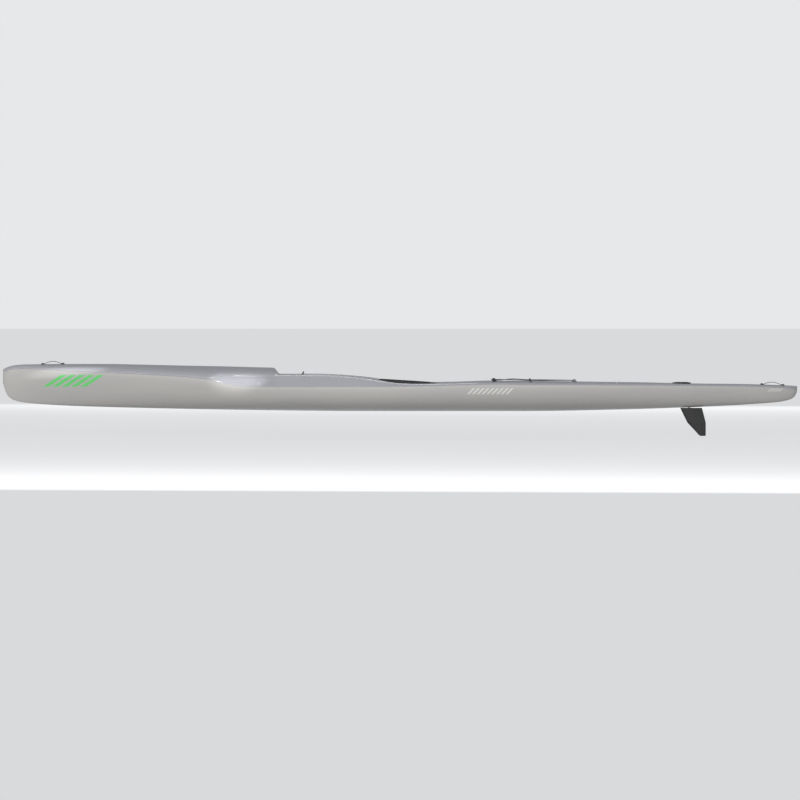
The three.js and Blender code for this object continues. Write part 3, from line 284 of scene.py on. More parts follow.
KEEL = [
    (-0.5, 0.6), (-0.4975, 0.46), (-0.494, 0.325), (-0.489, 0.25), (-0.48, 0.198), (-0.465, 0.165),
    (-0.44, 0.132), (-0.4, 0.1), (-0.35, 0.077), (-0.3, 0.056), (-0.25, 0.0395), (-0.2, 0.026),
    (-0.15, 0.0145), (-0.1, 0.005), (-0.063, 0), (0.176, 0), (0.22, 0.012), (0.27, 0.031),
    (0.32, 0.054), (0.36, 0.08), (0.4, 0.104), (0.43, 0.134), (0.455, 0.163), (0.475, 0.19),
    (0.487, 0.226), (0.494, 0.268), (0.498, 0.335), (0.5, 0.42),
]
SEAM = [
    (-0.5, 0.83), (-0.49, 0.877), (-0.48, 0.893), (-0.468, 0.898), (-0.44, 0.872), (-0.42, 0.855),
    (-0.397, 0.838), (-0.365, 0.815), (-0.315, 0.775), (-0.264, 0.722), (-0.2355, 0.669),
    (-0.22, 0.585), (-0.2066, 0.546), (-0.19, 0.527), (-0.15, 0.525), (-0.05, 0.53), (0, 0.535),
    (0.05, 0.55), (0.1, 0.573), (0.126, 0.577), (0.176, 0.567), (0.25, 0.56), (0.33, 0.552),
    (0.4, 0.535), (0.43, 0.532), (0.46, 0.51), (0.48, 0.495), (0.5, 0.46),
]
DECK = [
    (-0.5, 0.875), (-0.4985, 0.9), (-0.496, 0.922), (-0.491, 0.951), (-0.4836, 0.978),
    (-0.4736, 0.99), (-0.4535, 0.994), (-0.41, 1), (-0.365, 1), (-0.34, 0.992), (-0.302, 0.977),
    (-0.264, 0.963), (-0.227, 0.952), (-0.195, 0.937), (-0.168, 0.925), (-0.1593, 0.922),
    (-0.152, 0.781), (-0.0945, 0.781), (-0.0819, 0.766), (-0.063, 0.7485), (-0.05, 0.724),
    (-0.0378, 0.7117), (-0.0276, 0.681), (-0.0125, 0.62), (0, 0.607), (0.0253, 0.594),
    (0.0378, 0.598), (0.063, 0.6086), (0.088, 0.6196), (0.107, 0.647), (0.132, 0.64),
    (0.183, 0.635), (0.245, 0.62), (0.302, 0.609), (0.34, 0.595), (0.365, 0.585), (0.4, 0.579),
    (0.44, 0.572), (0.4724, 0.552), (0.491, 0.5415), (0.5, 0.5276),
]
PLAN = [
    (-0.5, 0.02), (-0.4975, 0.035), (-0.48, 0.1), (-0.44, 0.215), (-0.4, 0.315), (-0.35, 0.43),
    (-0.3, 0.54), (-0.25, 0.645), (-0.2, 0.755), (-0.15, 0.85), (-0.1, 0.925), (-0.05, 0.975),
    (0, 1), (0.05, 0.995), (0.1, 0.965), (0.15, 0.91), (0.2, 0.835), (0.25, 0.745), (0.3, 0.64),
    (0.35, 0.525), (0.4, 0.405), (0.44, 0.305), (0.47, 0.225), (0.49, 0.15), (0.498, 0.08),
    (0.5, 0.035),
]
FOLD_IN = [
    (-0.5, 0.004), (-0.3, 0.016), (-0.2355, 0.02), (-0.225, 0.11), (-0.214, 0.23), (-0.2066, 0.28),
    (-0.19, 0.29), (-0.175, 0.25), (-0.1625, 0.19), (-0.152, 0.15), (-0.127, 0.13), (-0.095, 0.12),
    (-0.063, 0.11), (-0.0275, 0.085), (0, 0.057), (0.025, 0.036), (0.073, 0.028), (0.1, 0.028),
    (0.4, 0.018), (0.5, 0.004),
]
FOLD_UP = [
    (-0.5, 0.01), (-0.3, 0.02), (-0.2355, 0.03), (-0.225, 0.13), (-0.214, 0.172), (-0.2066, 0.19),
    (-0.19, 0.21), (-0.175, 0.214), (-0.1625, 0.215), (-0.152, 0.238), (-0.127, 0.235),
    (-0.095, 0.232), (-0.063, 0.196), (-0.0275, 0.115), (0, 0.055), (0.025, 0.036), (0.073, 0.03),
    (0.1, 0.028), (0.4, 0.018), (0.5, 0.01),
]
BREAK_IN = [
    (-0.5, 0.3), (-0.24, 0.3), (-0.2066, 0.06), (-0.19, 0.08), (-0.1745, 0.3), (-0.1625, 0.8),
    (0.5, 0.8),
]
BREAK_UP = [
    (-0.5, 0.5), (-0.24, 0.5), (-0.2066, 0.12), (-0.19, 0.16), (-0.1745, 0.56), (-0.1625, 0.88),
    (0.5, 0.88),
]
BOTTOM_FULLNESS = [(-0.5, 1.5), (-0.35, 1.75), (-0.15, 2.15), (0.1, 2.3), (0.35, 2.1), (0.5, 1.9)]
CROWN_FULLNESS = [(-0.5, 1.7), (-0.1593, 1.75), (-0.152, 7), (0.07, 7), (0.107, 2.6), (0.5, 2.3)]
CROWN_SQUARE = [(-0.5, 1), (-0.1593, 1), (-0.152, 1.12), (0.05, 1.12), (0.073, 1), (0.5, 1)]
STEP_X = -0.1555 * LENGTH


def curve_through(table, up):
    """A smooth curve through a table of shares that never swings past its points."""
    x = np.array([row[0] for row in table]) * LENGTH
    v = np.array([row[1] for row in table]) * up
    slope = np.diff(v) / np.diff(x)
    lean = np.zeros(len(v))
    lean[0], lean[-1] = slope[0], slope[-1]
    for i in range(1, len(v) - 1):
        if slope[i - 1] * slope[i] > 0:
            lean[i] = 2 * slope[i - 1] * slope[i] / (slope[i - 1] + slope[i])

    def at(place):
        here = np.clip(place, x[0], x[-1])
        i = np.clip(np.searchsorted(x, here, side="right") - 1, 0, len(x) - 2)
        span = x[i + 1] - x[i]
        t = (here - x[i]) / span
        start, rise = 2 * t**3 - 3 * t**2 + 1, t**3 - 2 * t**2 + t
        finish, fall = 3 * t**2 - 2 * t**3, t**3 - t**2
        return start * v[i] + rise * span * lean[i] + finish * v[i + 1] + fall * span * lean[i + 1]

    return at


def faired(curve, reach, keep=()):
    """The curve's mean over a stretch, shorter toward the ends and the places to keep sharp."""

    def at(place):
        place = np.asarray(place, float)
        room = (LENGTH / 2 - np.abs(place)) * 0.5
        for sharp in keep:
            room = np.minimum(room, np.abs(place - sharp) * 0.45)
        h = np.clip(room, 0, reach)
        offsets = np.linspace(-1, 1, 15)
        weights = 1.05 - np.abs(offsets)
        total = sum(w * curve(place + h * o) for o, w in zip(offsets, weights))
        return total / weights.sum()

    return at


keel_at = faired(curve_through(KEEL, DEPTH), 0.22)
seam_at = faired(curve_through(SEAM, DEPTH), 0.12)
deck_at = faired(curve_through(DECK, DEPTH), 0.12, keep=(STEP_X,))
breadth_at = faired(curve_through(PLAN, HALF), 0.2)
fold_in_at = faired(curve_through(FOLD_IN, HALF), 0.03)
fold_up_at = faired(curve_through(FOLD_UP, DEPTH), 0.03)
break_in_at = curve_through(BREAK_IN, 1)
break_up_at = curve_through(BREAK_UP, 1)
bottom_at = curve_through(BOTTOM_FULLNESS, 1)
crown_at = faired(curve_through(CROWN_FULLNESS, 1), 0.05, keep=(STEP_X,))
square_at = curve_through(CROWN_SQUARE, 1)
print("depth at mid-length", round(float(deck_at(0.0) - keel_at(0.0)), 3), "m")

# %% [markdown]
# ## The two mouldings
# The bottom and the deck are moulded apart and bonded at the seam. Each is a loft: one section
# is worked out at every station and neighbouring sections are joined with faces. The sections
# are superellipses, which run from a soft V at the bow to a full round bilge amidships by
# changing a single number. The cockpit is then cut from the deck with a boolean, as it is easier
# to describe by its own sections.

# %% Lofting helpers
FINE_STATIONS, ROOM_STATIONS = 300, 120
BOTTOM_STEPS, CROWN_STEPS = 30, 22
MERGE = 1e-6


def facing_out(mesh, merge=False):
    """Turn a closed mesh's faces outward, with doubled corners merged first if asked."""
    tidy = bmesh.new()
    tidy.from_mesh(mesh)
    if merge:
        bmesh.ops.remove_doubles(tidy, verts=tidy.verts, dist=MERGE)
    bmesh.ops.recalc_face_normals(tidy, faces=tidy.faces)
    if tidy.calc_volume(signed=True) < 0:
        bmesh.ops.reverse_faces(tidy, faces=tidy.faces)
    tidy.to_mesh(mesh)
    tidy.free()
    return mesh


def mesh_of(name, verts, faces):
    mesh = bpy.data.meshes.new(name)
    mesh.from_pydata(verts, [], faces)
    return mesh


def loft_mesh(name, rings):
    """A closed mesh through rings of one count, its two ends capped from their middles."""
    rings = np.asarray(rings, float)
    many, count = rings.shape[:2]
    points = rings.reshape(-1, 3)
    middles = rings[[0, -1]].mean(axis=1)
    faces = []
    for r in range(many - 1):
        low, high = r * count, (r + 1) * count
        for i in range(count):
            j = (i + 1) % count
            faces.append((low + i, low + j, high + j, high + i))
    start, end = many * count, many * count + 1
    for i in range(count):
        j = (i + 1) % count
        faces.append((start, j, i))
        faces.append((end, (many - 1) * count + i, (many - 1) * count + j))
    return facing_out(mesh_of(name, np.vstack([points, middles]).tolist(), faces), merge=True)


def applied(piece, step):
    """Keep what a modifier makes of a piece as its plain mesh."""
    shaped = piece.evaluated_get(bpy.context.evaluated_depsgraph_get())
    mesh = bpy.data.meshes.new_from_object(shaped)
    piece.modifiers.remove(step)
    old, piece.data = piece.data, mesh
    bpy.data.meshes.remove(old)
    return piece


def combine(piece, tool, operation):
    """Cut or join a closed piece with a closed mesh or object, which is used up."""
    if isinstance(tool, bpy.types.Mesh):
        tool = new_object(tool.name, tool)
    step = piece.modifiers.new(operation, "BOOLEAN")
    step.operation = operation
    step.solver = "MANIFOLD"
    step.object = tool
    applied(piece, step)
    bpy.data.objects.remove(tool)
    return piece


def soften(mesh, degrees):
    """Smooth shading that stays crisp where faces meet at more than the angle."""
    mesh.shade_smooth()
    mesh.set_sharp_from_angle(angle=math.radians(degrees))


def stations(first, last, count):
    """Places along the craft, closer together toward its two ends and round the step."""
    share = np.linspace(0, 1, count)
    even = first + (last - first) * share
    round_ends = first + (last - first) * (0.5 - 0.5 * np.cos(math.pi * share))
    near_step = STEP_X + np.linspace(-0.06, 0.06, 41)
    places = np.sort(np.concatenate([0.35 * even + 0.65 * round_ends, near_step]))
    return places[np.concatenate([[True], np.diff(places) > 4e-4])]


print("lofts use up to", FINE_STATIONS, "stations")

# %% Sections of the bottom and of the deck
KEEL_HALF, KEEL_HALF_END = 0.03, 0.004
HOLLOW_END = 0.48
HULL_OVER, DECK_OVER = 0.05, 0.03


def both_sides(x, y, z, last=-2):
    """A half section and its mirror image; last is -1 where no point lies on the middle line."""
    half = np.column_stack([np.full(len(y), x), y, z])
    return np.vstack([half, half[last::-1] * (1, -1, 1)])


def bottom_section(x, inset, lift):
    breadth, keel, seam = breadth_at(x) - inset, keel_at(x) + inset, seam_at(x)
    bow = max(-x, 0) / LENGTH
    flat = min(KEEL_HALF_END + (KEEL_HALF - KEEL_HALF_END) * (1 - 2 * bow) ** 2, breadth * 0.4)
    power = 2 / bottom_at(x)
    turn = np.linspace(math.pi / 2, 0, BOTTOM_STEPS + 1)
    y = flat + (breadth - flat) * np.sin(turn) ** power
    z = seam - (seam - keel) * np.cos(turn) ** power
    y[0], z[0], y[-1], z[-1] = breadth, seam, flat, keel
    if lift:
        y, z = np.insert(y, 0, breadth), np.insert(z, 0, seam + lift)
    return both_sides(x, y, z, last=-1)


def deck_section(x, inset, drop):
    breadth = breadth_at(x) - inset
    seam = seam_at(x) + GAP
    fold_y, fold_z = breadth - fold_in_at(x), seam_at(x) + fold_up_at(x) - inset / 2
    crown = max(deck_at(x) - inset, fold_z + 0.001)
    y = [breadth, breadth - fold_in_at(x) * break_in_at(x)]
    z = [seam, seam + (fold_z - seam) * break_up_at(x)]
    turn = np.linspace(0, math.pi / 2, CROWN_STEPS + 1)
    power = 2 / crown_at(x)
    y = np.concatenate([y, fold_y * np.cos(turn) ** power])
    up = np.minimum(square_at(x) * np.sin(turn) ** power, 1)
    z = np.concatenate([z, fold_z + (crown - fold_z) * up])
    y[-1] = 0
    if drop:
        y, z = np.insert(y, 0, breadth), np.insert(z, 0, seam - drop)
    return both_sides(x, y, z)


whole = stations(-LENGTH / 2, LENGTH / 2, FINE_STATIONS)
hollow = stations(-HOLLOW_END * LENGTH, HOLLOW_END * LENGTH, ROOM_STATIONS)


def moulding(name, section, over):
    """A shell: the outside loft less the same sections drawn a wall further in."""
    shell = new_object(name, loft_mesh(name, [section(x, 0, 0) for x in whole]))
    room = loft_mesh("room", [section(x, WALL, over) for x in hollow])
    return combine(shell, room, "DIFFERENCE")


hull = moulding("hull_moulding", bottom_section, HULL_OVER)
deck = moulding("deck_moulding", deck_section, DECK_OVER)
print("hull faces", len(hull.data.polygons), "deck faces", len(deck.data.polygons))

# %% [markdown]
# ## The cockpit
# The paddler sits in a well that is deep at the heels, rises under the thighs and drops again
# into a round bucket. A table gives its half-width, floor and corner radius along the craft. The
# same table is lofted twice: once grown by a wall and joined to the deck as the well's skin, and
# once as it is, to be cut out of deck and skin. That space flares at its top, which rounds the
# rim.

# %% The well's space and its skin
WELL_FRONT, TUNNEL_END, WELL_BACK = -0.169 * LENGTH, -0.152 * LENGTH, 0.061 * LENGTH
FOOT_HALF, THIGH_HALF, SEAT_HALF = 0.607 * HALF, 0.543 * HALF, 0.736 * HALF
FOOT_Z, THIGH_Z, SEAT_Z, TUNNEL_TOP = 0.1166 * DEPTH, 0.356 * DEPTH, 0.147 * DEPTH, 0.7577 * DEPTH
CORNER, SEAT_CORNER, DRAFT = 0.034, 0.092, 0.006
RIM_ROUND = 0.007
WELL_TABLE = [
    (WELL_FRONT, 0.7 * FOOT_HALF, 1.9 * FOOT_Z, CORNER),
    (0.985 * WELL_FRONT, 0.86 * FOOT_HALF, 1.3 * FOOT_Z, CORNER),
    (0.96 * WELL_FRONT, 0.93 * FOOT_HALF, FOOT_Z, CORNER),
    (TUNNEL_END, 0.96 * FOOT_HALF, FOOT_Z, CORNER),
    (0.75 * WELL_FRONT, FOOT_HALF, FOOT_Z, CORNER),
    (0.53 * WELL_FRONT, FOOT_HALF, FOOT_Z, CORNER),
    (0.46 * WELL_FRONT, 0.97 * FOOT_HALF, 1.25 * FOOT_Z, CORNER),
    (0.37 * WELL_FRONT, THIGH_HALF, 0.8 * THIGH_Z, 1.3 * CORNER),
    (0.29 * WELL_FRONT, 0.99 * THIGH_HALF, THIGH_Z, 1.5 * CORNER),
    (0.21 * WELL_FRONT, 1.07 * THIGH_HALF, THIGH_Z, 0.7 * SEAT_CORNER),
    (0.12 * WELL_FRONT, 0.93 * SEAT_HALF, 1.75 * SEAT_Z, SEAT_CORNER),
    (0.04 * WELL_FRONT, SEAT_HALF, 1.15 * SEAT_Z, SEAT_CORNER),
    (0.12 * WELL_BACK, SEAT_HALF, SEAT_Z, SEAT_CORNER),
    (0.33 * WELL_BACK, 0.98 * SEAT_HALF, 1.2 * SEAT_Z, SEAT_CORNER),
    (0.52 * WELL_BACK, 0.9 * SEAT_HALF, 1.75 * SEAT_Z, 0.9 * SEAT_CORNER),
    (0.68 * WELL_BACK, 0.76 * SEAT_HALF, 2.5 * SEAT_Z, 0.7 * SEAT_CORNER),
    (0.82 * WELL_BACK, 0.58 * SEAT_HALF, 3.2 * SEAT_Z, 0.5 * SEAT_CORNER),
    (WELL_BACK, 0.3 * SEAT_HALF, 4 * SEAT_Z, 0.3 * SEAT_CORNER),
]
well_half, well_floor, well_corner = (
    curve_through([(row[0] / LENGTH, row[k]) for row in WELL_TABLE], 1) for k in (1, 2, 3)
)
CORNER_STEPS = 12
ROUND_STEPS = 6
ROUND_SHARE = 0.4
ROOF_LIP, ROOF_LIP_LONG = 0.0025, 0.008


def deck_top(x, y):
    """The height of the deck's outside at a place."""
    fold_y, fold_z = breadth_at(x) - fold_in_at(x), seam_at(x) + fold_up_at(x)
    share = np.clip(np.abs(y) / fold_y, 0, 1)
    up = (1 - share ** crown_at(x)) ** (1 / crown_at(x))
    return fold_z + (deck_at(x) - fold_z) * np.minimum(square_at(x) * up, 1)


def well_section(x, grow, top, is_open, flare):
    """One section of the well, grown evenly from the open space's own side, rim and corner."""
    half, floor = float(well_half(x)), float(well_floor(x))
    lip = min(RIM_ROUND, ROUND_SHARE * (deck_top(x, half) - floor)) if is_open else 0
    rim = deck_top(x, half + lip) - lip if is_open else top - grow
    radius = min(float(well_corner(x)), (rim - floor) * 0.85, half * 0.7) + grow
    radius, half, floor = max(radius, 0.0005), half + grow, floor - grow
    rim = max(rim if is_open else top, floor + radius + 0.0005)
    lip = lip if flare else 0
    turn = np.linspace(0, math.pi / 2, CORNER_STEPS + 1)
    y = half - DRAFT - radius + radius * np.cos(turn)
    z = floor + radius - radius * np.sin(turn)
    curl = np.linspace(math.pi / 2, 0, ROUND_STEPS + 1)
    y = np.concatenate([[half + lip], half + lip - lip * np.cos(curl), y, [0]])
    z = np.concatenate([[max(top, rim)], rim + lip * np.sin(curl), z, [floor]])
    return both_sides(x, y, z)


def well_solid(name, grow, covered, open_top, flare):
    """The well as a closed solid: covered ahead of the step, open behind it."""
    ends = (WELL_FRONT - grow, WELL_BACK + grow)
    lip_start = TUNNEL_END - ROOF_LIP_LONG
    inside = [*np.linspace(WELL_FRONT, lip_start, 24), lip_start + ROOF_LIP_LONG / 2, TUNNEL_END]
    outside = np.linspace(TUNNEL_END + GAP, WELL_BACK, 150)
    rings = []
    for x in inside:
        lip = ROOF_LIP if grow > 0 and x > lip_start else 0
        rings.append(well_section(x, grow, covered + lip, False, False))
    rings += [well_section(x, grow, open_top(x), True, flare) for x in outside]
    rings[0][:, 0], rings[-1][:, 0] = ends
    return new_object(name, loft_mesh(name, rings))


def deck_z(x, more=0.0):
    return float(deck_at(x)) + more


skin = well_solid("well_skin", WALL, TUNNEL_TOP + WALL, lambda x: deck_z(x, -0.5 * WALL), False)
space = well_solid("well_space", 0, TUNNEL_TOP, lambda x: deck_z(x, 0.06), True)
combine(deck, skin, "UNION")
print("deck with the well's skin:", len(deck.data.polygons), "faces")

# %% [markdown]
# Round fittings need round places: the hatch and the drain each get a flat seat on a ring of
# extra thickness and a hole. A profile turned about an upright axis gives all of these shapes.

# %% Turned solids and the seats for hatch, drain and bailer
HATCH_X, HATCH_SINK = 0.3545 * LENGTH, 0.0073
DRAIN_X, DRAIN_SINK = 0.2727 * LENGTH, 0.0015
RING_FLANGE, RING_NECK, DRAIN_FLANGE, DRAIN_NECK = 0.0725, 0.056, 0.02, 0.015
BAILER_X = 0.586 * WELL_FRONT
BAILER_LONG, BAILER_WIDE = 0.07, 0.036


def turned(name, profile, place, count=96):
    """A closed solid from a profile of (radius, height) pairs turned about an upright axis."""
    x0, y0, z0 = place
    verts, faces, ids = [], [], []
    for radius, height in profile:
        if radius == 0:
            ids.append([len(verts)] * count)
            verts.append((x0, y0, z0 + height))
            continue
        ids.append(list(range(len(verts), len(verts) + count)))
        for i in range(count):
            angle = 2 * math.pi * i / count
            out, side = radius * math.cos(angle), radius * math.sin(angle)
            verts.append((x0 + out, y0 + side, z0 + height))
    for low, high in zip(ids, ids[1:] + ids[:1]):
        for i in range(count):
            j = (i + 1) % count
            corners = [low[i], low[j], high[j], high[i]]
            corners = [c for k, c in enumerate(corners) if c not in corners[:k]]
            if len(corners) > 2:
                faces.append(corners)
    return facing_out(mesh_of(name, verts, faces))


def rod_profile(radius, half):
    return [(0, -half), (radius, -half), (radius, half), (0, half)]


def block(name, low, high, bevel=0.0, steps=3):
    """A box between two corners, with its edges rounded if asked."""
    shape = bmesh.new()
    bmesh.ops.create_cube(shape, size=1)
    size = [h - l for l, h in zip(low, high)]
    middle = [(h + l) / 2 for l, h in zip(low, high)]
    bmesh.ops.scale(shape, vec=size, verts=shape.verts)
    bmesh.ops.translate(shape, vec=middle, verts=shape.verts)
    if bevel:
        rounding = {"offset": bevel, "segments": steps, "affect": "EDGES", "profile": 0.5}
        bmesh.ops.bevel(shape, geom=shape.edges[:], **rounding)
    mesh = bpy.data.meshes.new(name)
    shape.to_mesh(mesh)
    shape.free()
    return mesh


def round_seat(x, radius, seat, hole, boss):
    """Thicken the deck under a round fitting, sink a flat seat into it and pierce it."""
    top = deck_z(x) + 0.03
    ring = [(0, -WALL), (radius + boss, -WALL), (radius + boss, boss / 2), (0, boss / 2)]
    combine(deck, turned("ring", ring, (x, 0, seat)), "UNION")
    lip, out = 0.0015, radius + 0.002
    rise = deck_z(x) - seat
    recess = [
        (0, 0), (out, 0), (out, rise - lip), (out + lip, rise + lip / 4), (out + lip, top - seat),
        (0, top - seat),
    ]
    combine(deck, turned("recess", recess, (x, 0, seat)), "DIFFERENCE")
    bore = [(0, -0.05), (hole, -0.05), (hole, 0.02), (0, 0.02)]
    combine(deck, turned("bore", bore, (x, 0, seat)), "DIFFERENCE")


hatch_seat = float(curve_through(DECK, DEPTH)(HATCH_X)) - HATCH_SINK
drain_seat = float(curve_through(DECK, DEPTH)(DRAIN_X)) - DRAIN_SINK
round_seat(HATCH_X, RING_FLANGE, hatch_seat, RING_NECK, 0.007)
round_seat(DRAIN_X, DRAIN_FLANGE, drain_seat, DRAIN_NECK, 0.002)
duct_low = (BAILER_X - BAILER_LONG / 2 - GAP, -BAILER_WIDE / 2 - GAP, -0.06)
duct_high = (BAILER_X + BAILER_LONG / 2 + GAP, BAILER_WIDE / 2 + GAP, 0.06)
combine(deck, space, "DIFFERENCE")
for shell in (deck, hull):
    combine(shell, block("duct", duct_low, duct_high), "DIFFERENCE")
LEASH_X, LEASH_OUT, LEASH_SINK = 0.7226 * WELL_FRONT, 0.682 * HALF, 0.0006
EYE_LONG, EYE_WIDE, EYE_ROOM = 0.034, 0.013, 0.0015
for side in (-1, 1):
    floor_at = float(deck_top(LEASH_X, LEASH_OUT)) - LEASH_SINK
    reach_x, reach_y = EYE_WIDE / 2 + EYE_ROOM, EYE_LONG / 2 + EYE_ROOM
    low = (LEASH_X - reach_x, side * LEASH_OUT - reach_y, floor_at)
    high = (LEASH_X + reach_x, side * LEASH_OUT + reach_y, floor_at + 0.03)
    combine(deck, block("leash_recess", low, high), "DIFFERENCE")
RUDDER_X, STOCK_ROOM = 0.364 * LENGTH, 0.0103
stock_hole = [(0, 0), (STOCK_ROOM, 0), (STOCK_ROOM, 0.12), (0, 0.12)]
combine(hull, turned("stock_hole", stock_hole, (RUDDER_X, 0, -0.02), 48), "DIFFERENCE")
for shell in (deck, hull):
    soften(shell.data, 28)
print("deck", len(deck.data.polygons), "faces, hull", len(hull.data.polygons), "faces")

# %% [markdown]
# ## Finishes
# Every finish is worked out from a point's own place on the piece, so it stays put when a piece
# moves. The gelcoat is the one that matters most: a clear coat over grey, a slow drift in its
# tone, the faint unevenness of a polished mould and a painted highlight of lighter streaks along
# the bottom. The deck's grey is darker and cooler than the hull's, as painted shade and a painted
# cool reflection.

# %% Shader helpers
def place_of(tree, stretch=(1, 1, 1)):
    where = tree.nodes.new("ShaderNodeTexCoord").outputs["Object"]
    return put(tree, "ShaderNodeMapping", Vector=where, Scale=stretch).outputs["Vector"]


def noise(tree, vector, scale, detail=3.0, roughness=0.5):
    numbers = {"Scale": scale, "Detail": detail, "Roughness": roughness}
    return put(tree, "ShaderNodeTexNoise", Vector=vector, **numbers).outputs["Fac"]


def span(tree, value, low, high, to_low=0.0, to_high=1.0):
    node = put(tree, "ShaderNodeMapRange", Value=value, From_Min=low, From_Max=high)
    set_inputs(node, To_Min=to_low, To_Max=to_high)
    return node.outputs["Result"]


def bumped(tree, shader, height, distance, strength=1.0):
    node = put(tree, "ShaderNodeBump", Height=height, Distance=distance, Strength=strength)
    tree.links.new(node.outputs["Normal"], shader.inputs["Normal"])


def dress(piece, material):
    if piece.material_slots:
        for slot in piece.material_slots:
            slot.link = "OBJECT"
            slot.material = material
    else:
        piece.data.materials.append(material)


def placed(piece, body, slot, *nodes):
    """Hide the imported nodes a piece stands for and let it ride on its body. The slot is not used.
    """
    if nodes:
        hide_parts(*nodes)
    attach(piece, body)
    return piece


def fitted(piece, material, body, slot, *nodes, smooth=40):
    """The last steps of a fitting: its shading, its finish and its place."""
    soften(piece.data, smooth)
    dress(piece, material)
    return placed(piece, body, slot, *nodes)


def swept_bars(tree, x, z, start, end, low, high, count, fill, lean):
    """A mask of slanting bars inside a leaning box on the side of the craft."""

    def within(value, least, most):
        above = sums(tree, "GREATER_THAN", value, least)
        return product(tree, above, sums(tree, "LESS_THAN", value, most))

    lifted = product(tree, span(tree, z, low, high), lean)
    along = sums(tree, "SUBTRACT", span(tree, x, start, end), lifted)
    share = sums(tree, "DIVIDE", along, 1.0 - lean)
    bar = sums(tree, "LESS_THAN", sums(tree, "FRACT", product(tree, share, float(count))), fill)
    return product(tree, within(along, 0.0, 1.0 - lean), bar, within(z, low, high))


print("shader helpers ready")

# %% Gelcoat, the two greys, with plain bars on the bow, side and stern
GREEN = (0.125, 0.56, 0.155, 1)
PALE = (0.62, 0.62, 0.6, 1)
KEEL_HIGHLIGHT_COLOUR = (0.5, 0.5, 0.49, 1)
HULL_GREY, HULL_SHADE = (0.43, 0.425, 0.41, 1), (0.395, 0.39, 0.38, 1)
# The deck's two greys are darker and cooler than the hull's: painted shade and a painted cool sky
# reflection on the deck, which faces up.
DECK_GREY_PAINTED_SHADE, DECK_DARKER_PAINTED_SHADE = (0.35, 0.352, 0.38, 1), (0.33, 0.333, 0.36, 1)


def gelcoat(name, colour, darker, bars):
    material, tree, shader = new_material(name)
    where = place_of(tree)
    parts = put(tree, "ShaderNodeSeparateXYZ", Vector=where)
    x, z = parts.outputs["X"], parts.outputs["Z"]
    drift = noise(tree, place_of(tree, (0.7, 3, 3)), 1.6, 2)
    tone = blend_colours(tree, span(tree, drift, 0.35, 0.7), colour, darker)
    # Lighter streaks towards the keel are a painted highlight along the bottom edge; the coat is
    # also made rougher there.
    keel_streaks = noise(tree, place_of(tree, (1.5, 90, 160)), 5, 4, 0.65)
    low = span(tree, z, 0.07, 0.0)
    painted_keel_highlight = product(tree, span(tree, keel_streaks, 0.62, 0.7), low)
    tone = blend_colours(tree, product(tree, painted_keel_highlight, 0.35), tone, KEEL_HIGHLIGHT_COLOUR)
    for *bar, paint in bars:
        tone = blend_colours(tree, swept_bars(tree, x, z, *bar), tone, paint)
    tree.links.new(tone, shader.inputs["Base Color"])
    speckle = noise(tree, place_of(tree, (1, 4, 4)), 5, 3)
    polish = span(tree, speckle, 0.3, 0.7, 0.27, 0.31)
    rough = sums(tree, "ADD", polish, product(tree, painted_keel_highlight, 0.25))
    tree.links.new(rough, shader.inputs["Roughness"])
    set_inputs(shader, Coat_Weight=0.35, Coat_Roughness=0.12, Specular_IOR_Level=0.45)
    peel = noise(tree, where, 420, 2)
    bumped(tree, shader, peel, 0.000012, 0.3)
    return material


# each row: from, to, foot, top, how many, their share of the pitch, their lean, their colour
hull_bars = [
    (-2.47, -2.02, 0.17, 0.252, 5, 0.62, 0.28, GREEN),
    (0.46, 0.8, 0.122, 0.164, 9, 0.5, 0.12, PALE),
    (2.54, 2.66, 0.136, 0.158, 5, 0.5, 0.2, PALE),
]
dress(hull, gelcoat("hull_gelcoat", HULL_GREY, HULL_SHADE, hull_bars))
dress(deck, gelcoat("deck_gelcoat", DECK_GREY_PAINTED_SHADE, DECK_DARKER_PAINTED_SHADE, []))
placed(hull, "craft", "hull_gelcoat", "hull_shell")
placed(deck, "craft", "deck_gelcoat", "deck_shell", "foot_tunnel", "foot_well", "seat_well")
print("gelcoat on", hull.name, "and", deck.name)

# %% Moulded nylon, foam, metals, composite, webbing and line
def two_tones(tree, factor, colour, gain):
    """A colour that goes over to the same colour made lighter."""
    lighter = tuple(min(c * gain, 1) for c in colour[:3]) + (1,)
    return blend_colours(tree, factor, colour, lighter)


def moulded(name, colour, rough=0.55, grain=900, depth=0.00006):
    material, tree, shader = new_material(name)
    where = place_of(tree)
    drift = span(tree, noise(tree, where, 11, 3), 0.35, 0.75)
    gloss = span(tree, noise(tree, where, 60, 4), 0.3, 0.7, rough - 0.08, rough + 0.08)
    tree.links.new(two_tones(tree, drift, colour, 1.35), shader.inputs["Base Color"])
    tree.links.new(gloss, shader.inputs["Roughness"])
    bumped(tree, shader, noise(tree, where, grain, 3), depth, 0.6)
    return material


def metal(name, colour, rough, stretch, scale):
    material, tree, shader = new_material(name)
    where = place_of(tree, stretch)
    lines = noise(tree, where, scale, 3, 0.6)
    set_inputs(shader, Base_Color=colour, Metallic=1)
    gloss = span(tree, lines, 0.3, 0.7, rough - 0.07, rough + 0.1)
    tree.links.new(gloss, shader.inputs["Roughness"])
    bumped(tree, shader, lines, 0.00002, 0.4)
    return material


def cell_foam(name, colour):
    material, tree, shader = new_material(name)
    where = place_of(tree)
    cells = put(tree, "ShaderNodeTexVoronoi", Scale=260, Vector=where)
    blotch = span(tree, noise(tree, where, 14, 3), 0.3, 0.7)
    tree.links.new(two_tones(tree, blotch, colour, 1.5), shader.inputs["Base Color"])
    set_inputs(shader, Roughness=0.92, Sheen_Weight=0.15)
    bumped(tree, shader, cells.outputs["Distance"], 0.00025, 0.6)
    return material


TOW = 0.0035
CARBON_DARK, CARBON_LIGHT = (0.009, 0.0095, 0.011, 1), (0.018, 0.0185, 0.02, 1)


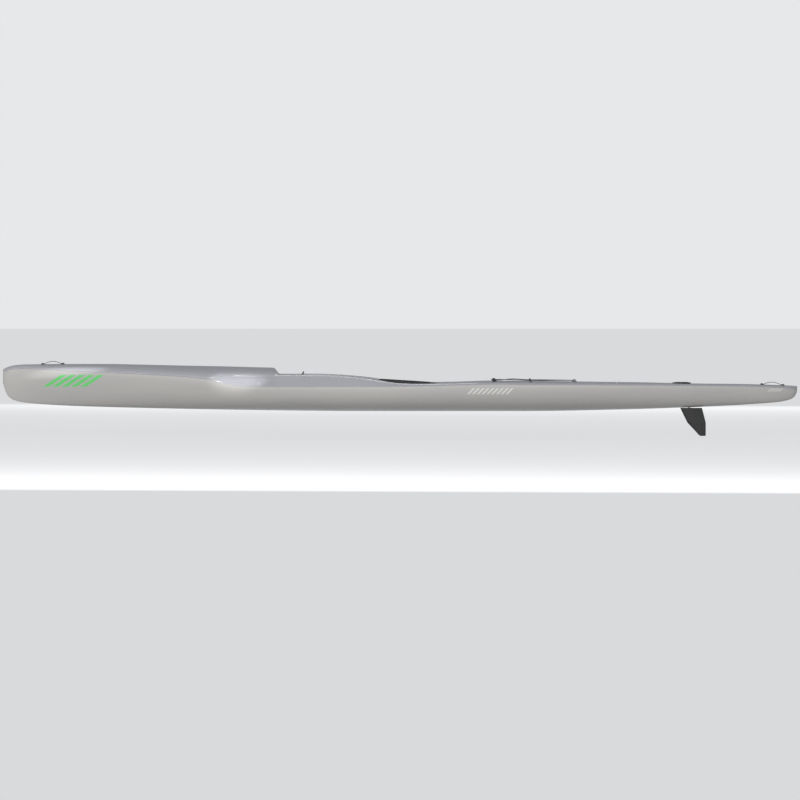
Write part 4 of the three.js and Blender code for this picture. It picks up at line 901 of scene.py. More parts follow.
def carbon(name):
    material, tree, shader = new_material(name)
    where = place_of(tree)
    parts = put(tree, "ShaderNodeSeparateXYZ", Vector=where)
    first, second = (
        sums(tree, "PINGPONG", sums(tree, way, parts.outputs["X"], parts.outputs["Z"]), TOW)
        for way in ("ADD", "SUBTRACT")
    )
    over = sums(tree, "GREATER_THAN", first, second)
    tone = blend_colours(tree, over, CARBON_DARK, CARBON_LIGHT)
    tree.links.new(tone, shader.inputs["Base Color"])
    set_inputs(shader, Roughness=0.5, Specular_IOR_Level=0.3)
    bumped(tree, shader, noise(tree, where, 120, 3), 0.00003, 0.5)
    return material


def woven_place(tree, uv):
    """How far along a strap or cord a point is, and how far across or round it."""
    source = tree.nodes.new("ShaderNodeUVMap")
    source.uv_map = uv
    parts = put(tree, "ShaderNodeSeparateXYZ", Vector=source.outputs["UV"])
    return parts.outputs["X"], parts.outputs["Y"]


def woven(name, colour, uv, ribs, across):
    """Webbing: fine ribs along the strap, crossed by a denser weave, laid on the strap's own UV."""
    material, tree, shader = new_material(name)
    along, over = woven_place(tree, uv)
    rib = sums(tree, "PINGPONG", product(tree, over, float(ribs)), 1.0)
    weave = sums(tree, "PINGPONG", product(tree, along, float(across)), 1.0)
    height = sums(tree, "ADD", product(tree, rib, 0.6), product(tree, weave, 0.4))
    # The weave is lighter on its crests and darker in its hollows: painted shade.
    tree.links.new(two_tones(tree, height, colour, 2.0), shader.inputs["Base Color"])
    set_inputs(shader, Roughness=0.85, Sheen_Weight=0.3)
    bumped(tree, shader, height, 0.0003, 0.7)
    return material


nylon = moulded("black_nylon", (0.018, 0.018, 0.02, 1))
pale_nylon = moulded("pale_nylon", (0.55, 0.55, 0.56, 1), 0.45)
guide_plastic = moulded("guide_plastic", (0.62, 0.6, 0.55, 1), 0.5)
foam = cell_foam("closed_foam", (0.022, 0.022, 0.024, 1))
core = cell_foam("core_foam", (0.62, 0.57, 0.44, 1))
steel = metal("stainless", (0.55, 0.56, 0.57, 1), 0.3, (1, 1, 14), 160)
alloy = metal("alloy", (0.4, 0.41, 0.43, 1), 0.42, (3, 40, 40), 60)
composite = carbon("rudder_composite")
print("finishes", len(bpy.data.materials))

# %% [markdown]
# ## Pieces that repeat along a line
# A bead and a row of stitches are one rule followed many times, so a Geometry Nodes tree draws
# each: one tree sweeps a round along a path, the other puts a copy of a small piece on every
# point it is given. The result becomes a plain mesh and the modifier is taken off again.

# %% Geometry Nodes: a swept round and a row of copies
def new_tree(name, **inputs):
    tree = bpy.data.node_groups.new(name, "GeometryNodeTree")
    for label, kind in {"Geometry": "Geometry", **inputs, "Material": "Material"}.items():
        tree.interface.new_socket(label, in_out="INPUT", socket_type=f"NodeSocket{kind}")
    tree.interface.new_socket("Geometry", in_out="OUTPUT", socket_type="NodeSocketGeometry")
    return tree, tree.nodes.new("NodeGroupInput"), tree.nodes.new("NodeGroupOutput")


def finish_tree(tree, given, output, last):
    real = tree.nodes.new("GeometryNodeRealizeInstances")
    paint = tree.nodes.new("GeometryNodeSetMaterial")
    tree.links.new(last, real.inputs[0])
    tree.links.new(real.outputs[0], paint.inputs["Geometry"])
    tree.links.new(given.outputs["Material"], paint.inputs["Material"])
    tree.links.new(paint.outputs[0], output.inputs[0])


def sweep_tree():
    tree, given, output = new_tree("swept_round", Radius="Float", Sides="Int")
    path = put(tree, "GeometryNodeMeshToCurve", Mesh=given.outputs["Geometry"])
    round_by = {"Radius": given.outputs["Radius"], "Resolution": given.outputs["Sides"]}
    ring = put(tree, "GeometryNodeCurvePrimitiveCircle", **round_by)
    swept = {"Curve": path.outputs[0], "Profile Curve": ring.outputs[0]}
    body = put(tree, "GeometryNodeCurveToMesh", **swept)
    set_inputs(body, Fill_Caps=True)
    smooth = put(tree, "GeometryNodeSetShadeSmooth", Geometry=body.outputs[0])
    finish_tree(tree, given, output, smooth.outputs[0])
    return tree


def copies_tree():
    """Copies of an object on every point of a mesh, turned by the mesh's own normals."""
    tree, given, output = new_tree("copies_on_points", Copy="Object", Turn="Float")
    info = put(tree, "GeometryNodeObjectInfo", Object=given.outputs["Copy"])
    normal = tree.nodes.new("GeometryNodeInputNamedAttribute")
    normal.data_type = "FLOAT_VECTOR"
    set_inputs(normal, Name="facing")
    align = put(tree, "FunctionNodeAlignRotationToVector", Vector=normal.outputs["Attribute"])
    align.axis = "Z"
    angle = put(tree, "FunctionNodeAxisAngleToRotation", Angle=given.outputs["Turn"])
    turned_by = {"Rotation": align.outputs[0], "Rotate By": angle.outputs[0]}
    spin = put(tree, "FunctionNodeRotateRotation", **turned_by)
    spin.rotation_space = "LOCAL"
    laid = {"Points": given.outputs["Geometry"], "Instance": info.outputs["Geometry"]}
    spread = put(tree, "GeometryNodeInstanceOnPoints", Rotation=spin.outputs[0], **laid)
    finish_tree(tree, given, output, spread.outputs[0])
    return tree


def run_tree(name, mesh, tree, **values):
    """Run a tree on a mesh and keep the result as a plain mesh object."""
    source = new_object(name, mesh)
    step = source.modifiers.new("nodes", "NODES")
    step.node_group = tree
    for item in tree.interface.items_tree:
        if item.in_out == "INPUT" and item.name in values:
            step[item.identifier] = values[item.name]
    return applied(source, step)


def path_mesh(name, points):
    mesh = bpy.data.meshes.new(name)
    mesh.from_pydata([tuple(q) for q in points], [(i, i + 1) for i in range(len(points) - 1)], [])
    return mesh


def spots_mesh(name, spots):
    """A mesh of loose points, each with the way its copy faces."""
    mesh = bpy.data.meshes.new(name)
    mesh.from_pydata([tuple(place) for place, _ in spots], [], [])
    facing = mesh.attributes.new("facing", "FLOAT_VECTOR", "POINT")
    facing.data.foreach_set("vector", [v for _, way in spots for v in way])
    return mesh


def smooth_path(points, step):
    """A rounded path through given points, one point every step metres."""
    points = [Vector(q) for q in points]
    full = [points[0] * 2 - points[1], *points, points[-1] * 2 - points[-2]]
    steps = [(b - a).length ** 0.5 for a, b in zip(points, points[1:])]
    times = [-steps[0], 0.0]
    for step_time in steps + steps[-1:]:
        times.append(times[-1] + step_time)
    result = []
    for i in range(1, len(full) - 2):
        p0, p1, p2, p3 = full[i - 1 : i + 3]
        t0, t1, t2, t3 = times[i - 1 : i + 3]
        count = max(int((p2 - p1).length / step), 1)
        for k in range(count):
            t = t1 + (t2 - t1) * k / count
            a1 = p0 * ((t1 - t) / (t1 - t0)) + p1 * ((t - t0) / (t1 - t0))
            a2 = p1 * ((t2 - t) / (t2 - t1)) + p2 * ((t - t1) / (t2 - t1))
            a3 = p2 * ((t3 - t) / (t3 - t2)) + p3 * ((t - t2) / (t3 - t2))
            b1 = a1 * ((t2 - t) / (t2 - t0)) + a2 * ((t - t0) / (t2 - t0))
            b2 = a2 * ((t3 - t) / (t3 - t1)) + a3 * ((t - t1) / (t3 - t1))
            result.append(b1 * ((t2 - t) / (t2 - t1)) + b2 * ((t - t1) / (t2 - t1)))
    result.append(points[-1])
    return result


SWEEP, COPIES = sweep_tree(), copies_tree()
print("node trees", SWEEP.name, COPIES.name)

# %% [markdown]
# ## The seam
# Where the two mouldings meet, a thin bead of sealant fills the joint all the way along each
# side. It follows the same seam curve that shaped them.

# %% Seam beads
sealant = moulded("sealant", (0.3, 0.3, 0.31, 1), 0.4, 300)
BEAD = 0.0011
for word, side in (("port", -1), ("starboard", 1)):
    places = np.linspace(-0.4985 * LENGTH, 0.4985 * LENGTH, 700)
    line = [(x, side * (breadth_at(x) - BEAD * 0.25), seam_at(x) + GAP / 2) for x in places]
    path = path_mesh("seam", line)
    bead = run_tree(f"seam_bead_{word}", path, SWEEP, Radius=BEAD, Sides=8, Material=sealant)
    placed(bead, "craft", "deck_gelcoat")
print("seam beads along", round(places[-1] - places[0], 2), "m")

# %% [markdown]
# ## The seat pad
# A sheet of closed-cell foam lines the bucket and stands a little above the rim at its front,
# which is the dark band seen from the side. It is what is left between the well and the same
# well made smaller, trimmed to the pad's side outline. Shallow grooves let water run off.

# %% Seat pad
PAD_THICK = 0.007
PAD_FRONT, PAD_MIDDLE, PAD_BACK = 0.161 * WELL_FRONT, 0.61 * WELL_BACK, 0.864 * WELL_BACK
PAD_CORNER, PAD_LOW = 0.014, 0.03
PAD_HIGH, PAD_MIDDLE_HIGH, PAD_BACK_HIGH = 0.675 * DEPTH, 0.61 * DEPTH, 0.577 * DEPTH
front_round = [
    (PAD_FRONT + PAD_CORNER * (1 - math.cos(a)), PAD_HIGH - PAD_CORNER * (1 - math.sin(a)))
    for a in np.linspace(0, math.pi / 2, 9)
]
PAD_OUTLINE = [
    (PAD_FRONT, PAD_LOW), *front_round, (PAD_MIDDLE, PAD_MIDDLE_HIGH), (PAD_BACK, PAD_BACK_HIGH),
    (PAD_BACK, PAD_LOW),
]


def prism(name, near, far):
    """A closed mesh between two rings of matching points, each closed by one face."""
    count = len(near)
    faces = [tuple(range(count)), tuple(range(2 * count - 1, count - 1, -1))]
    for i in range(count):
        j = (i + 1) % count
        faces.append((j, i, count + i, count + j))
    return facing_out(mesh_of(name, near + far, faces))


def side_prism(name, outline, half):
    """A side-view outline of (x, z) pairs given a width across the craft."""
    return prism(name, *([(x, y, z) for x, z in outline] for y in (-half, half)))


def front_prism(name, outline, start, end):
    """A front-view outline of (y, z) pairs carried along the craft."""
    return prism(name, *([(x, y, z) for y, z in outline] for x in (start, end)))


def round_edges(piece, angle, width, steps=3):
    """Round the sharp edges of a closed mesh with a bevel modifier that is then applied."""
    step = piece.modifiers.new("round", "BEVEL")
    step.limit_method = "ANGLE"
    step.angle_limit = math.radians(angle)
    step.width = width
    step.segments = steps
    step.use_clamp_overlap = True
    return applied(piece, step)


def over_all(x):
    return deck_z(x, 0.08)


pad = well_solid("seat_pad_foam", -GAP, TUNNEL_TOP, over_all, False)
combine(pad, side_prism("pad_zone", PAD_OUTLINE, HALF), "INTERSECT")
pad_room = well_solid("pad_room", -GAP - PAD_THICK, TUNNEL_TOP, lambda x: over_all(x) + 0.02, False)
combine(pad, pad_room, "DIFFERENCE")
GROOVE_DEEP, GROOVE_WIDE, GROOVE_APART, GROOVES = 0.0016, 0.0035, 0.04, 7
for i in range(GROOVES):
    y = (i - (GROOVES - 1) / 2) * GROOVE_APART
    short = 0.02 * abs(i - (GROOVES - 1) / 2)
    cutter = well_solid("groove", -GAP - PAD_THICK + GROOVE_DEEP, TUNNEL_TOP, over_all, False)
    low = (PAD_FRONT + 0.045 + short, y - GROOVE_WIDE / 2, 0.03)
    high = (PAD_BACK - 0.09 - short, y + GROOVE_WIDE / 2, 0.2)
    combine(cutter, block("slab", low, high), "INTERSECT")
    combine(pad, cutter, "DIFFERENCE")
round_edges(pad, 50, 0.0016, 2)
fitted(pad, foam, "craft", "closed_foam", "seat_pad")
print("seat pad", len(pad.data.polygons), "faces,", GROOVES, "grooves")

# %% [markdown]
# ## Straps
# A strap is one flat section carried along a curve, and a cord is a round one. The UV runs in
# metres along it and from 0 to 1 round its section, so the weave bends with it. Stitches are
# copies of one short rod.

# %% Strap and cord helpers
webbing = woven("black_webbing", (0.012, 0.012, 0.014, 1), "weave", 26, 900)


def swept_mesh(name, path, sections):
    """A closed mesh from one ring of points per step, with the step's distance and share as UV."""
    count = len(sections[0])
    verts = [tuple(v) for ring in sections for v in ring]
    along = np.concatenate([[0], np.cumsum([(b - a).length for a, b in zip(path, path[1:])])])
    faces = []
    for r in range(len(sections) - 1):
        for i in range(count):
            j = (i + 1) % count
            faces.append((r * count + i, r * count + j, (r + 1) * count + j, (r + 1) * count + i))
    faces.append(tuple(range(count - 1, -1, -1)))
    faces.append(tuple(range((len(sections) - 1) * count, len(sections) * count)))
    mesh = mesh_of(name, verts, faces)
    layer = mesh.uv_layers.new(name="weave")
    for face in mesh.polygons:
        wraps = max(v % count for v in face.vertices) - min(v % count for v in face.vertices) > 1
        for loop, vertex in zip(face.loop_indices, face.vertices):
            share = vertex % count
            if wraps and share == 0:
                share = count
            layer.data[loop].uv = (along[vertex // count], share / count)
    return mesh


def strap_section(half, thick, steps=4):
    """Half-width and thickness as a flat loop with round edges, as (across, out) pairs."""
    edge = np.linspace(-math.pi / 2, math.pi / 2, steps + 1)
    right = [(half - thick / 2 + thick / 2 * math.cos(a), thick / 2 * math.sin(a)) for a in edge]
    left = [(-y, -z) for y, z in right]
    flat = np.linspace(-0.8, 0.8, 9) * (half - thick / 2)
    return right + [(-y, thick / 2) for y in flat] + left + [(y, -thick / 2) for y in flat]


def strap_piece(name, path, across, half, thick, material):
    path = [Vector(p) for p in path]
    shape = strap_section(half, thick)
    rings = []
    for i, point in enumerate(path):
        tangent = (path[min(i + 1, len(path) - 1)] - path[max(i - 1, 0)]).normalized()
        out = tangent.cross(across).normalized()
        rings.append([point + across * w + out * t for w, t in shape])
    mesh = facing_out(swept_mesh(name, path, rings))
    soften(mesh, 50)
    piece = new_object(name, mesh)
    dress(piece, material)
    return piece


def cord_piece(name, path, radius, sides, material):
    """A round cord along a path, its frame carried along without twist."""
    path = [Vector(p) for p in path]
    side = Vector((0, 0, 1)).cross(path[1] - path[0]).normalized()
    rings = []
    for i, point in enumerate(path):
        tangent = (path[min(i + 1, len(path) - 1)] - path[max(i - 1, 0)]).normalized()
        side = (side - tangent * side.dot(tangent)).normalized()
        up = tangent.cross(side)
        turns = [2 * math.pi * k / sides for k in range(sides)]
        rings.append([point + radius * (side * math.cos(a) + up * math.sin(a)) for a in turns])
    mesh = swept_mesh(name, path, rings)
    mesh.shade_smooth()
    mesh.set_sharp_from_angle(angle=math.radians(60))
    piece = new_object(name, mesh)
    dress(piece, material)
    return piece


def pill(name, radius, long, sides=8):
    """A short rod with round ends, lying along X."""
    reach = long / 2 - radius
    profile = [(-long / 2, 0.0)]
    for a in (0.5, 1.0, math.pi / 2):
        profile.append((-reach - radius * math.cos(a), radius * math.sin(a)))
    profile += [(-x, r) for x, r in reversed(profile[1:])] + [(long / 2, 0.0)]
    mesh = turned(name, [(r, x) for x, r in profile], (0, 0, 0), sides)
    mesh.transform(Matrix.Rotation(math.pi / 2, 4, "Y"))
    mesh.shade_smooth()
    return mesh


def copies(name, master, spots, material, turn=0.0, body="craft", slot="stainless"):
    """Put copies of one mesh on (place, facing) spots and let them ride on a body."""
    source = new_object("master", master)
    values = {"Copy": source, "Turn": turn, "Material": material}
    piece = run_tree(name, spots_mesh(name, spots), COPIES, **values)
    bpy.data.objects.remove(source)
    return placed(piece, body, slot)


def screw_master(radius, high):
    """A pan-head screw with a cross recess, standing on the origin."""
    turn = np.linspace(0, math.pi / 2, 7)
    dome = [(radius * math.cos(a) ** 0.7, high * (0.25 + 0.75 * math.sin(a))) for a in turn[:-1]]
    profile = [(0, -high), (radius, -high), (radius, 0), *dome, (0, high)]
    head = new_object("head", turned("head", profile, (0, 0, 0), 32))
    slot_half, slot_long = radius * 0.13, radius * 0.62
    for x, y in ((slot_long, slot_half), (slot_half, slot_long)):
        combine(head, block("cross", (-x, -y, high * 0.3), (x, y, high * 2)), "DIFFERENCE")
    mesh = head.data
    bpy.data.objects.remove(head)
    soften(mesh, 35)
    return mesh


UP = Vector((0, 0, 1))
ACROSS = Vector((0, 1, 0))
ALONG = Vector((1, 0, 0))
STITCH = 0.00035
print("strap, cord, stitch and screw helpers ready")

# %% Carry handles
HANDLE_THICK, HANDLE_TAB, HANDLE_RISE, HANDLE_HALF = 0.0035, 0.024, 0.017, 0.01
CLAMP_THICK = 0.003
handle_screws = []
for word in ("bow", "stern"):
    low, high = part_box(f"{word}_handle_strap")
    front, back = low.x, high.x
    start, end = front + HANDLE_TAB, back - HANDLE_TAB
    lift = GAP + HANDLE_THICK / 2
    line = [Vector((x, 0, deck_z(x) + lift)) for x in np.linspace(front, start - 0.003, 8)]
    for share in np.linspace(0.012, 0.988, 61):
        x = start + (end - start) * share
        rise = HANDLE_RISE * math.sin(math.pi * share) ** 0.8
        line.append(Vector((x, 0, deck_z(x) + lift + rise)))
    line += [Vector((x, 0, deck_z(x) + lift)) for x in np.linspace(end + 0.003, back, 8)]
    line = smooth_path(line[::2], 0.0012)
    strap = strap_piece(f"{word}_carry_strap", line, ACROSS, HANDLE_HALF, HANDLE_THICK, webbing)
    placed(strap, "craft", "webbing", f"{word}_handle_strap")
    stitches = []
    for tab_end in (start - 0.0015, end + 0.0015):
        for y in np.linspace(-0.0085, 0.0085, 9):
            stitches.append((Vector((tab_end, y, deck_z(tab_end) + GAP + HANDLE_THICK)), UP))
    stitch = pill("stitch", STITCH, 0.0028)
    copies(f"{word}_strap_stitches", stitch, stitches, webbing, slot="webbing")
    for word_end in ("front", "rear"):
        plate_low, plate_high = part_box(f"{word}_handle_plate_{word_end}")
        middle = (plate_low + plate_high) / 2
        long = plate_high.x - plate_low.x
        slope = (deck_z(plate_high.x) - deck_z(plate_low.x)) / long
        foot = deck_z(middle.x) + 2 * GAP + HANDLE_THICK
        clamp_low, clamp_high = (-long / 2, plate_low.y, 0), (long / 2, plate_high.y, CLAMP_THICK)
        mesh = block("clamp", clamp_low, clamp_high, 0.0009, 3)
        tilt = Matrix.Rotation(-math.atan(slope), 4, "Y")
        mesh.transform(Matrix.Translation((middle.x, 0, foot)) @ tilt)
        clamp = new_object(f"{word}_clamp_{word_end}", mesh)
        fitted(clamp, nylon, "craft", "black_nylon", f"{word}_handle_plate_{word_end}")
        normal = Vector((-slope, 0, 1)).normalized()
        handle_screws.append((Vector((middle.x, 0, foot)) + normal * CLAMP_THICK, normal))
screws = copies("handle_screw_heads", screw_master(0.0046, 0.0022), handle_screws, steel, 0.6)
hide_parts(*[f"{w}_handle_screw_{e}" for w in ("bow", "stern") for e in ("front", "rear")])
print("two carry handles,", len(handle_screws), "screws")

# %% [markdown]
# ## Deck eyes and the shock cord
# One eye is modelled and put in seven places. Each is trimmed to the deck under it, so that it
# sits down on the curve. The cord is a single length: its points stay a given list.

# %% Deck eyes
EYE_ARCH, EYE_HOLE, EYE_THICK = 0.0095, 0.0046, 0.007
EYE_UP, EYE_HIGH, EYE_DEEP = 0.0075, 0.003, 0.005
CORD_FORE, CORD_MID, CORD_AFT = 0.1187 * LENGTH, 0.164 * LENGTH, 0.2196 * LENGTH
CORD_OUT = 0.5286 * HALF
EYES = [
    ("cord_eye_fore_port", CORD_FORE, -CORD_OUT, -40, 0),
    ("cord_eye_fore_starboard", CORD_FORE, CORD_OUT, 40, 0),
    ("cord_eye_mid_port", CORD_MID, -CORD_OUT, 77, 0),
    ("cord_eye_mid_starboard", CORD_MID, CORD_OUT, -77, 0),
    ("cord_eye_aft", CORD_AFT, 0, 0, 0),
    ("leash_eye_port", LEASH_X, -LEASH_OUT, 90, LEASH_SINK),
    ("leash_eye_starboard", LEASH_X, LEASH_OUT, 90, LEASH_SINK),
]


def stadium(name, long, wide, low, high, steps=16):
    """An upright plate with round ends, long along X."""
    turn = np.linspace(-math.pi / 2, math.pi / 2, steps + 1)
    reach = (long - wide) / 2
    ring = [(reach + wide / 2 * math.cos(a), wide / 2 * math.sin(a)) for a in turn]
    ring += [(-x, -y) for x, y in ring]
    rings = [[(x, y, z) for x, y in ring] for z in (low, high)]
    return loft_mesh(name, rings)


def eye_mesh():
    turn = np.linspace(0, math.pi, 33)
    arch = [(EYE_ARCH * math.cos(a), EYE_UP + EYE_ARCH * math.sin(a)) for a in turn]
    outline = [(EYE_ARCH * 1.1, 0), *arch, (-EYE_ARCH * 1.1, 0)]
    lug = new_object("lug", side_prism("lug", outline, EYE_THICK / 2))
    base = new_object("base", stadium("base", EYE_LONG, EYE_WIDE, -EYE_DEEP, EYE_HIGH))
    combine(lug, base, "UNION")
    bore = turned("bore", rod_profile(EYE_HOLE, 0.02), (0, 0, 0), 40)
    bore.transform(Matrix.Translation((0, 0, EYE_UP + GAP)) @ Matrix.Rotation(math.pi / 2, 4, "X"))
    combine(lug, bore, "DIFFERENCE")
    round_edges(lug, 40, 0.0011, 3)
    mesh = lug.data.copy()
    bpy.data.objects.remove(lug)
    return mesh


def seat_on_deck(piece, x, reach, sink):
    """Trim the underside of a fitting to the deck's own shape, a thin gap above it."""
    near = np.linspace(x - reach, x + reach, 60)
    under = loft_mesh("under", [deck_section(s, 0, 0) + (0, 0, GAP - sink) for s in near])
    return combine(piece, under, "DIFFERENCE")


shape = eye_mesh()
eye_screws = []
for name, x, y, yaw, sink in EYES:
    foot = float(deck_top(x, y)) + GAP - sink
    mesh = shape.copy()
    turn = Matrix.Translation((x, y, foot)) @ Matrix.Rotation(math.radians(yaw), 4, "Z")
    mesh.transform(turn)
    eye = new_object(f"{name}_fitting", mesh)
    seat_on_deck(eye, x, 0.03, sink)
    fitted(eye, nylon, "craft", "black_nylon", name, smooth=45)
    for end in (-1, 1):
        eye_screws.append((turn @ Vector((end * EYE_LONG * 0.36, 0, EYE_HIGH)), UP))
copies("eye_screw_heads", screw_master(0.0031, 0.0012), eye_screws, steel, 0.5)
print(len(EYES), "deck eyes,", len(eye_screws), "screws")

# %% Shock cord
def braid(name, colour, tracer, turns, rows):
    """A plaited cover: two families of slanting strands cross each other on the cord's UV."""
    material, tree, shader = new_material(name)
    along, around = woven_place(tree, "weave")
    along, around = product(tree, along, float(rows)), product(tree, around, float(turns))
    first = sums(tree, "PINGPONG", sums(tree, "ADD", along, around), 1.0)
    second = sums(tree, "PINGPONG", sums(tree, "SUBTRACT", along, around), 1.0)
    height = sums(tree, "MAXIMUM", first, second)
    strand = sums(tree, "ADD", product(tree, along, 0.25), product(tree, around, 0.25))
    marked = sums(tree, "LESS_THAN", sums(tree, "FRACT", strand), 0.12)
    # The strands are lighter on their tops and darker where they dip: painted shade.
    tone = two_tones(tree, height, colour, 1.9)
    tree.links.new(blend_colours(tree, marked, tone, tracer), shader.inputs["Base Color"])
    set_inputs(shader, Roughness=0.8, Sheen_Weight=0.25)
    bumped(tree, shader, height, 0.0004, 0.8)
    return material


CORD_RADIUS = 0.0026
CORD_SHARES = [
    (-0.03, -1.061, 0), (0, -1, 0), (0.03, -0.939, 0), (0.189, -0.615, 0.4), (0.5, 0, 2.4),
    (0.811, 0.628, 0.4), (0.96, 0.96, 0), (1, 1, 0), (1.039, 1.007, 0), (1.19, 0.885, 0),
    (1.712, 0.311, 0), (1.935, 0.142, 0), (1.987, 0.074, 0), (2, 0, 0), (1.987, -0.074, 0),
    (1.935, -0.142, 0), (1.712, -0.311, 0), (1.19, -0.885, 0), (1.039, -1.007, 0), (1, -1, 0),
    (0.96, -0.96, 0), (0.811, -0.628, 0), (0.5, 0, 0), (0.189, 0.615, 0), (0.03, 0.939, 0),
    (0, 1, 0), (-0.03, 1.061, 0),
]
KNOT_SIZE, TAIL = 0.0019, 0.012


def cord_place(share, out, lift):
    x = CORD_FORE + (CORD_MID - CORD_FORE) * share
    if share >= 1:
        x = CORD_MID + (CORD_AFT - CORD_MID) * (share - 1)
    y = out * CORD_OUT
    return Vector((x, y, float(deck_top(x, y)) + 2 * GAP + EYE_UP + lift * CORD_RADIUS))


def knot_path(start, way):
    """A tight overhand knot and its short tail, drawn about the cord's own line."""
    side = UP.cross(way).normalized()
    up = way.cross(side)
    middle = start + way * 0.006
    loop = []
    for k in range(60):
        t = 0.5 + 5.4 * k / 59
        a, b = math.sin(t) + 2 * math.sin(2 * t), math.cos(t) - 2 * math.cos(2 * t)
        loop.append(middle + KNOT_SIZE * (way * a * 0.8 + side * b * 0.9 - up * math.sin(3 * t)))
    return loop + [loop[-1] + way * TAIL * 0.5, loop[-1] + way * TAIL + up * 0.001]


cord_cover = braid("cord_cover", (0.014, 0.014, 0.016, 1), (0.3, 0.31, 0.32, 1), 8, 520)
places = smooth_path([cord_place(*row) for row in CORD_SHARES], 0.004)
shock = cord_piece("shock_cord_cover", places, CORD_RADIUS, 14, cord_cover)
placed(shock, "craft", "shock_cord", "shock_cord")
for word, start, nearby in (("port", places[0], places[1]), ("starboard", places[-1], places[-2])):
    path = smooth_path(knot_path(start, (start - nearby).normalized()), 0.001)
    knot = cord_piece(f"cord_knot_{word}", path, CORD_RADIUS * 0.92, 12, cord_cover)
    placed(knot, "craft", "shock_cord")
print("shock cord of", len(places), "steps and two knots")

# %% [markdown]
# ## Steering lines
# Each line runs from its pedal through a guide tube inside the hull to the tiller under the
# hatch. Only the stretch in the foot well shows, but the whole route is laid. It is cut into
# three pieces: one at the pedal, one in the middle and one at the tiller.

# %% Steering lines and their guide tubes
TILLER_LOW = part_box("tiller_arm")[0]
LINE_RADIUS, GUIDE_OUT, GUIDE_PROUD = 0.00125, 0.0035, 0.004
LINE_BENDS, LOOP_BENDS = 0.09, 0.06
LINE_SHARES = [
    (-0.1491, 0.489, 0.7025), (-0.1273, 0.543, 0.693), (-0.1045, 0.564, 0.678),
    (-0.0909, 0.686, 0.65), (-0.0727, 0.736, 0.6135), (-0.0455, 0.771, 0.54),
    (-0.0182, 0.829, 0.485), (0.0091, 0.85, 0.46), (0.0455, 0.814, 0.448),
    (0.0909, 0.732, 0.442), (0.1636, 0.571, 0.436), (0.2545, 0.375, 0.4325),
    (0.3273, 0.214, 0.4325),
]
PEDAL_AT = Vector((-0.867608, 0.106, 0.23001))
TILLER_AT = Vector((TILLER_LOW.x + 0.0016, 0.046, TILLER_LOW.z + 0.012))
line_cover = braid("line_cover", (0.46, 0.44, 0.36, 1), (0.1, 0.12, 0.3, 1), 6, 800)
for word, side in (("port", -1), ("starboard", 1)):
    inside = [Vector((a * LENGTH, b * HALF, c * DEPTH)) for a, b, c in LINE_SHARES]
    route = [PEDAL_AT, *inside, TILLER_AT]
    route = smooth_path([Vector((q.x, side * q.y, q.z)) for q in route], 0.006)
    tube_low, tube_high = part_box(f"guide_tube_{word}")
    first = next(i for i, q in enumerate(route) if abs(q.y) > FOOT_HALF - GUIDE_PROUD - GUIDE_OUT)
    guided = [q for q in route[first:] if q.x < tube_high.x]
    halfway = first + len(guided) // 2
    tied = next(i for i, q in enumerate(route) if q.x > PEDAL_AT.x + LOOP_BENDS)
    stretches = {
        "end": route[: tied + 1], "fore": route[tied : halfway + 1], "aft": route[halfway:],
    }
    end, fore, aft = (
        cord_piece(f"steering_line_{word}_{part}", path, LINE_RADIUS, 8, line_cover)
        for part, path in stretches.items()
    )
    for line in (end, fore, aft):
        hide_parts(f"rudder_line_{word}")
    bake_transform(end)
    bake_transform(fore)
    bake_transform(aft)
    guide = cord_piece(f"guide_{word}", guided, GUIDE_OUT, 16, guide_plastic)
    placed(guide, "craft", "guide_plastic", f"guide_tube_{word}")
print("steering lines", round(sum((b - a).length for a, b in zip(route, route[1:])), 3), "m each")

# %% [markdown]
# ## Hatch, drain and rudder
# The hatch and the drain are turned pieces with details that repeat round a circle: ribs for
# wet fingers and the ring's screws. The rudder blade is a loft of foil sections whose chord
# shrinks quickly at the tip, which rounds it.

# %% Hatch and drain
RING_HIGH, RING_OPEN, RING_DEEP = 0.006, 0.051, 0.012
SEAL_HIGH, COVER_OUT, COVER_HIGH, COVER_CROWN = 0.0016, 0.065, 0.005, 0.002
SEAL_IN, SEAL_OUT, RING_SCREWS, LID_RIBS = 0.057, 0.061, 8, 48
hatch_at = (HATCH_X, 0, hatch_seat + GAP)


def on_circle(angle, radius, height):
    """A place on a circle round the hatch's middle."""
    return Vector(hatch_at) + Vector((radius * math.cos(angle), radius * math.sin(angle), height))


def round_piece(name, profile, place, node, material, slot, body="craft", edge=0.0006, count=128):
    piece = new_object(name, turned(name, profile, place, count))
    round_edges(piece, 30, edge, 2)
    return fitted(piece, material, body, slot, node)


ring_profile = [
    (RING_OPEN, -RING_DEEP), (RING_NECK, -RING_DEEP), (RING_NECK, 0), (RING_FLANGE, 0),
    (RING_FLANGE, 0.0016), (RING_FLANGE - 0.003, 0.0042), (RING_FLANGE - 0.0062, RING_HIGH),
    (RING_OPEN, RING_HIGH),
]
black = {"material": nylon, "slot": "black_nylon"}
round_piece("hatch_flange", ring_profile, hatch_at, "hatch_ring", **black)
ring_screws = []
for k in range(RING_SCREWS):
    angle = 2 * math.pi * (k + 0.5) / RING_SCREWS
    facing = Vector((math.cos(angle), math.sin(angle), 1.35)).normalized()
    ring_screws.append((on_circle(angle, RING_FLANGE - 0.0044, 0.0048), facing))
copies("hatch_screw_heads", screw_master(0.0027, 0.0011), ring_screws, steel, 0.4)
seal_low, seal_high = RING_HIGH + GAP, RING_HIGH + GAP + SEAL_HIGH
seal_profile = [
    (SEAL_IN, seal_low), (SEAL_OUT, seal_low), (SEAL_OUT, seal_high), (SEAL_IN, seal_high),
]
round_piece("hatch_gasket", seal_profile, hatch_at, "hatch_seal", foam, "closed_foam", edge=0.0004)
lid_low = RING_HIGH + SEAL_HIGH + 2 * GAP
lid_top, spigot_low = lid_low + COVER_HIGH, lid_low - 0.008
inner = RING_OPEN - 2 * GAP
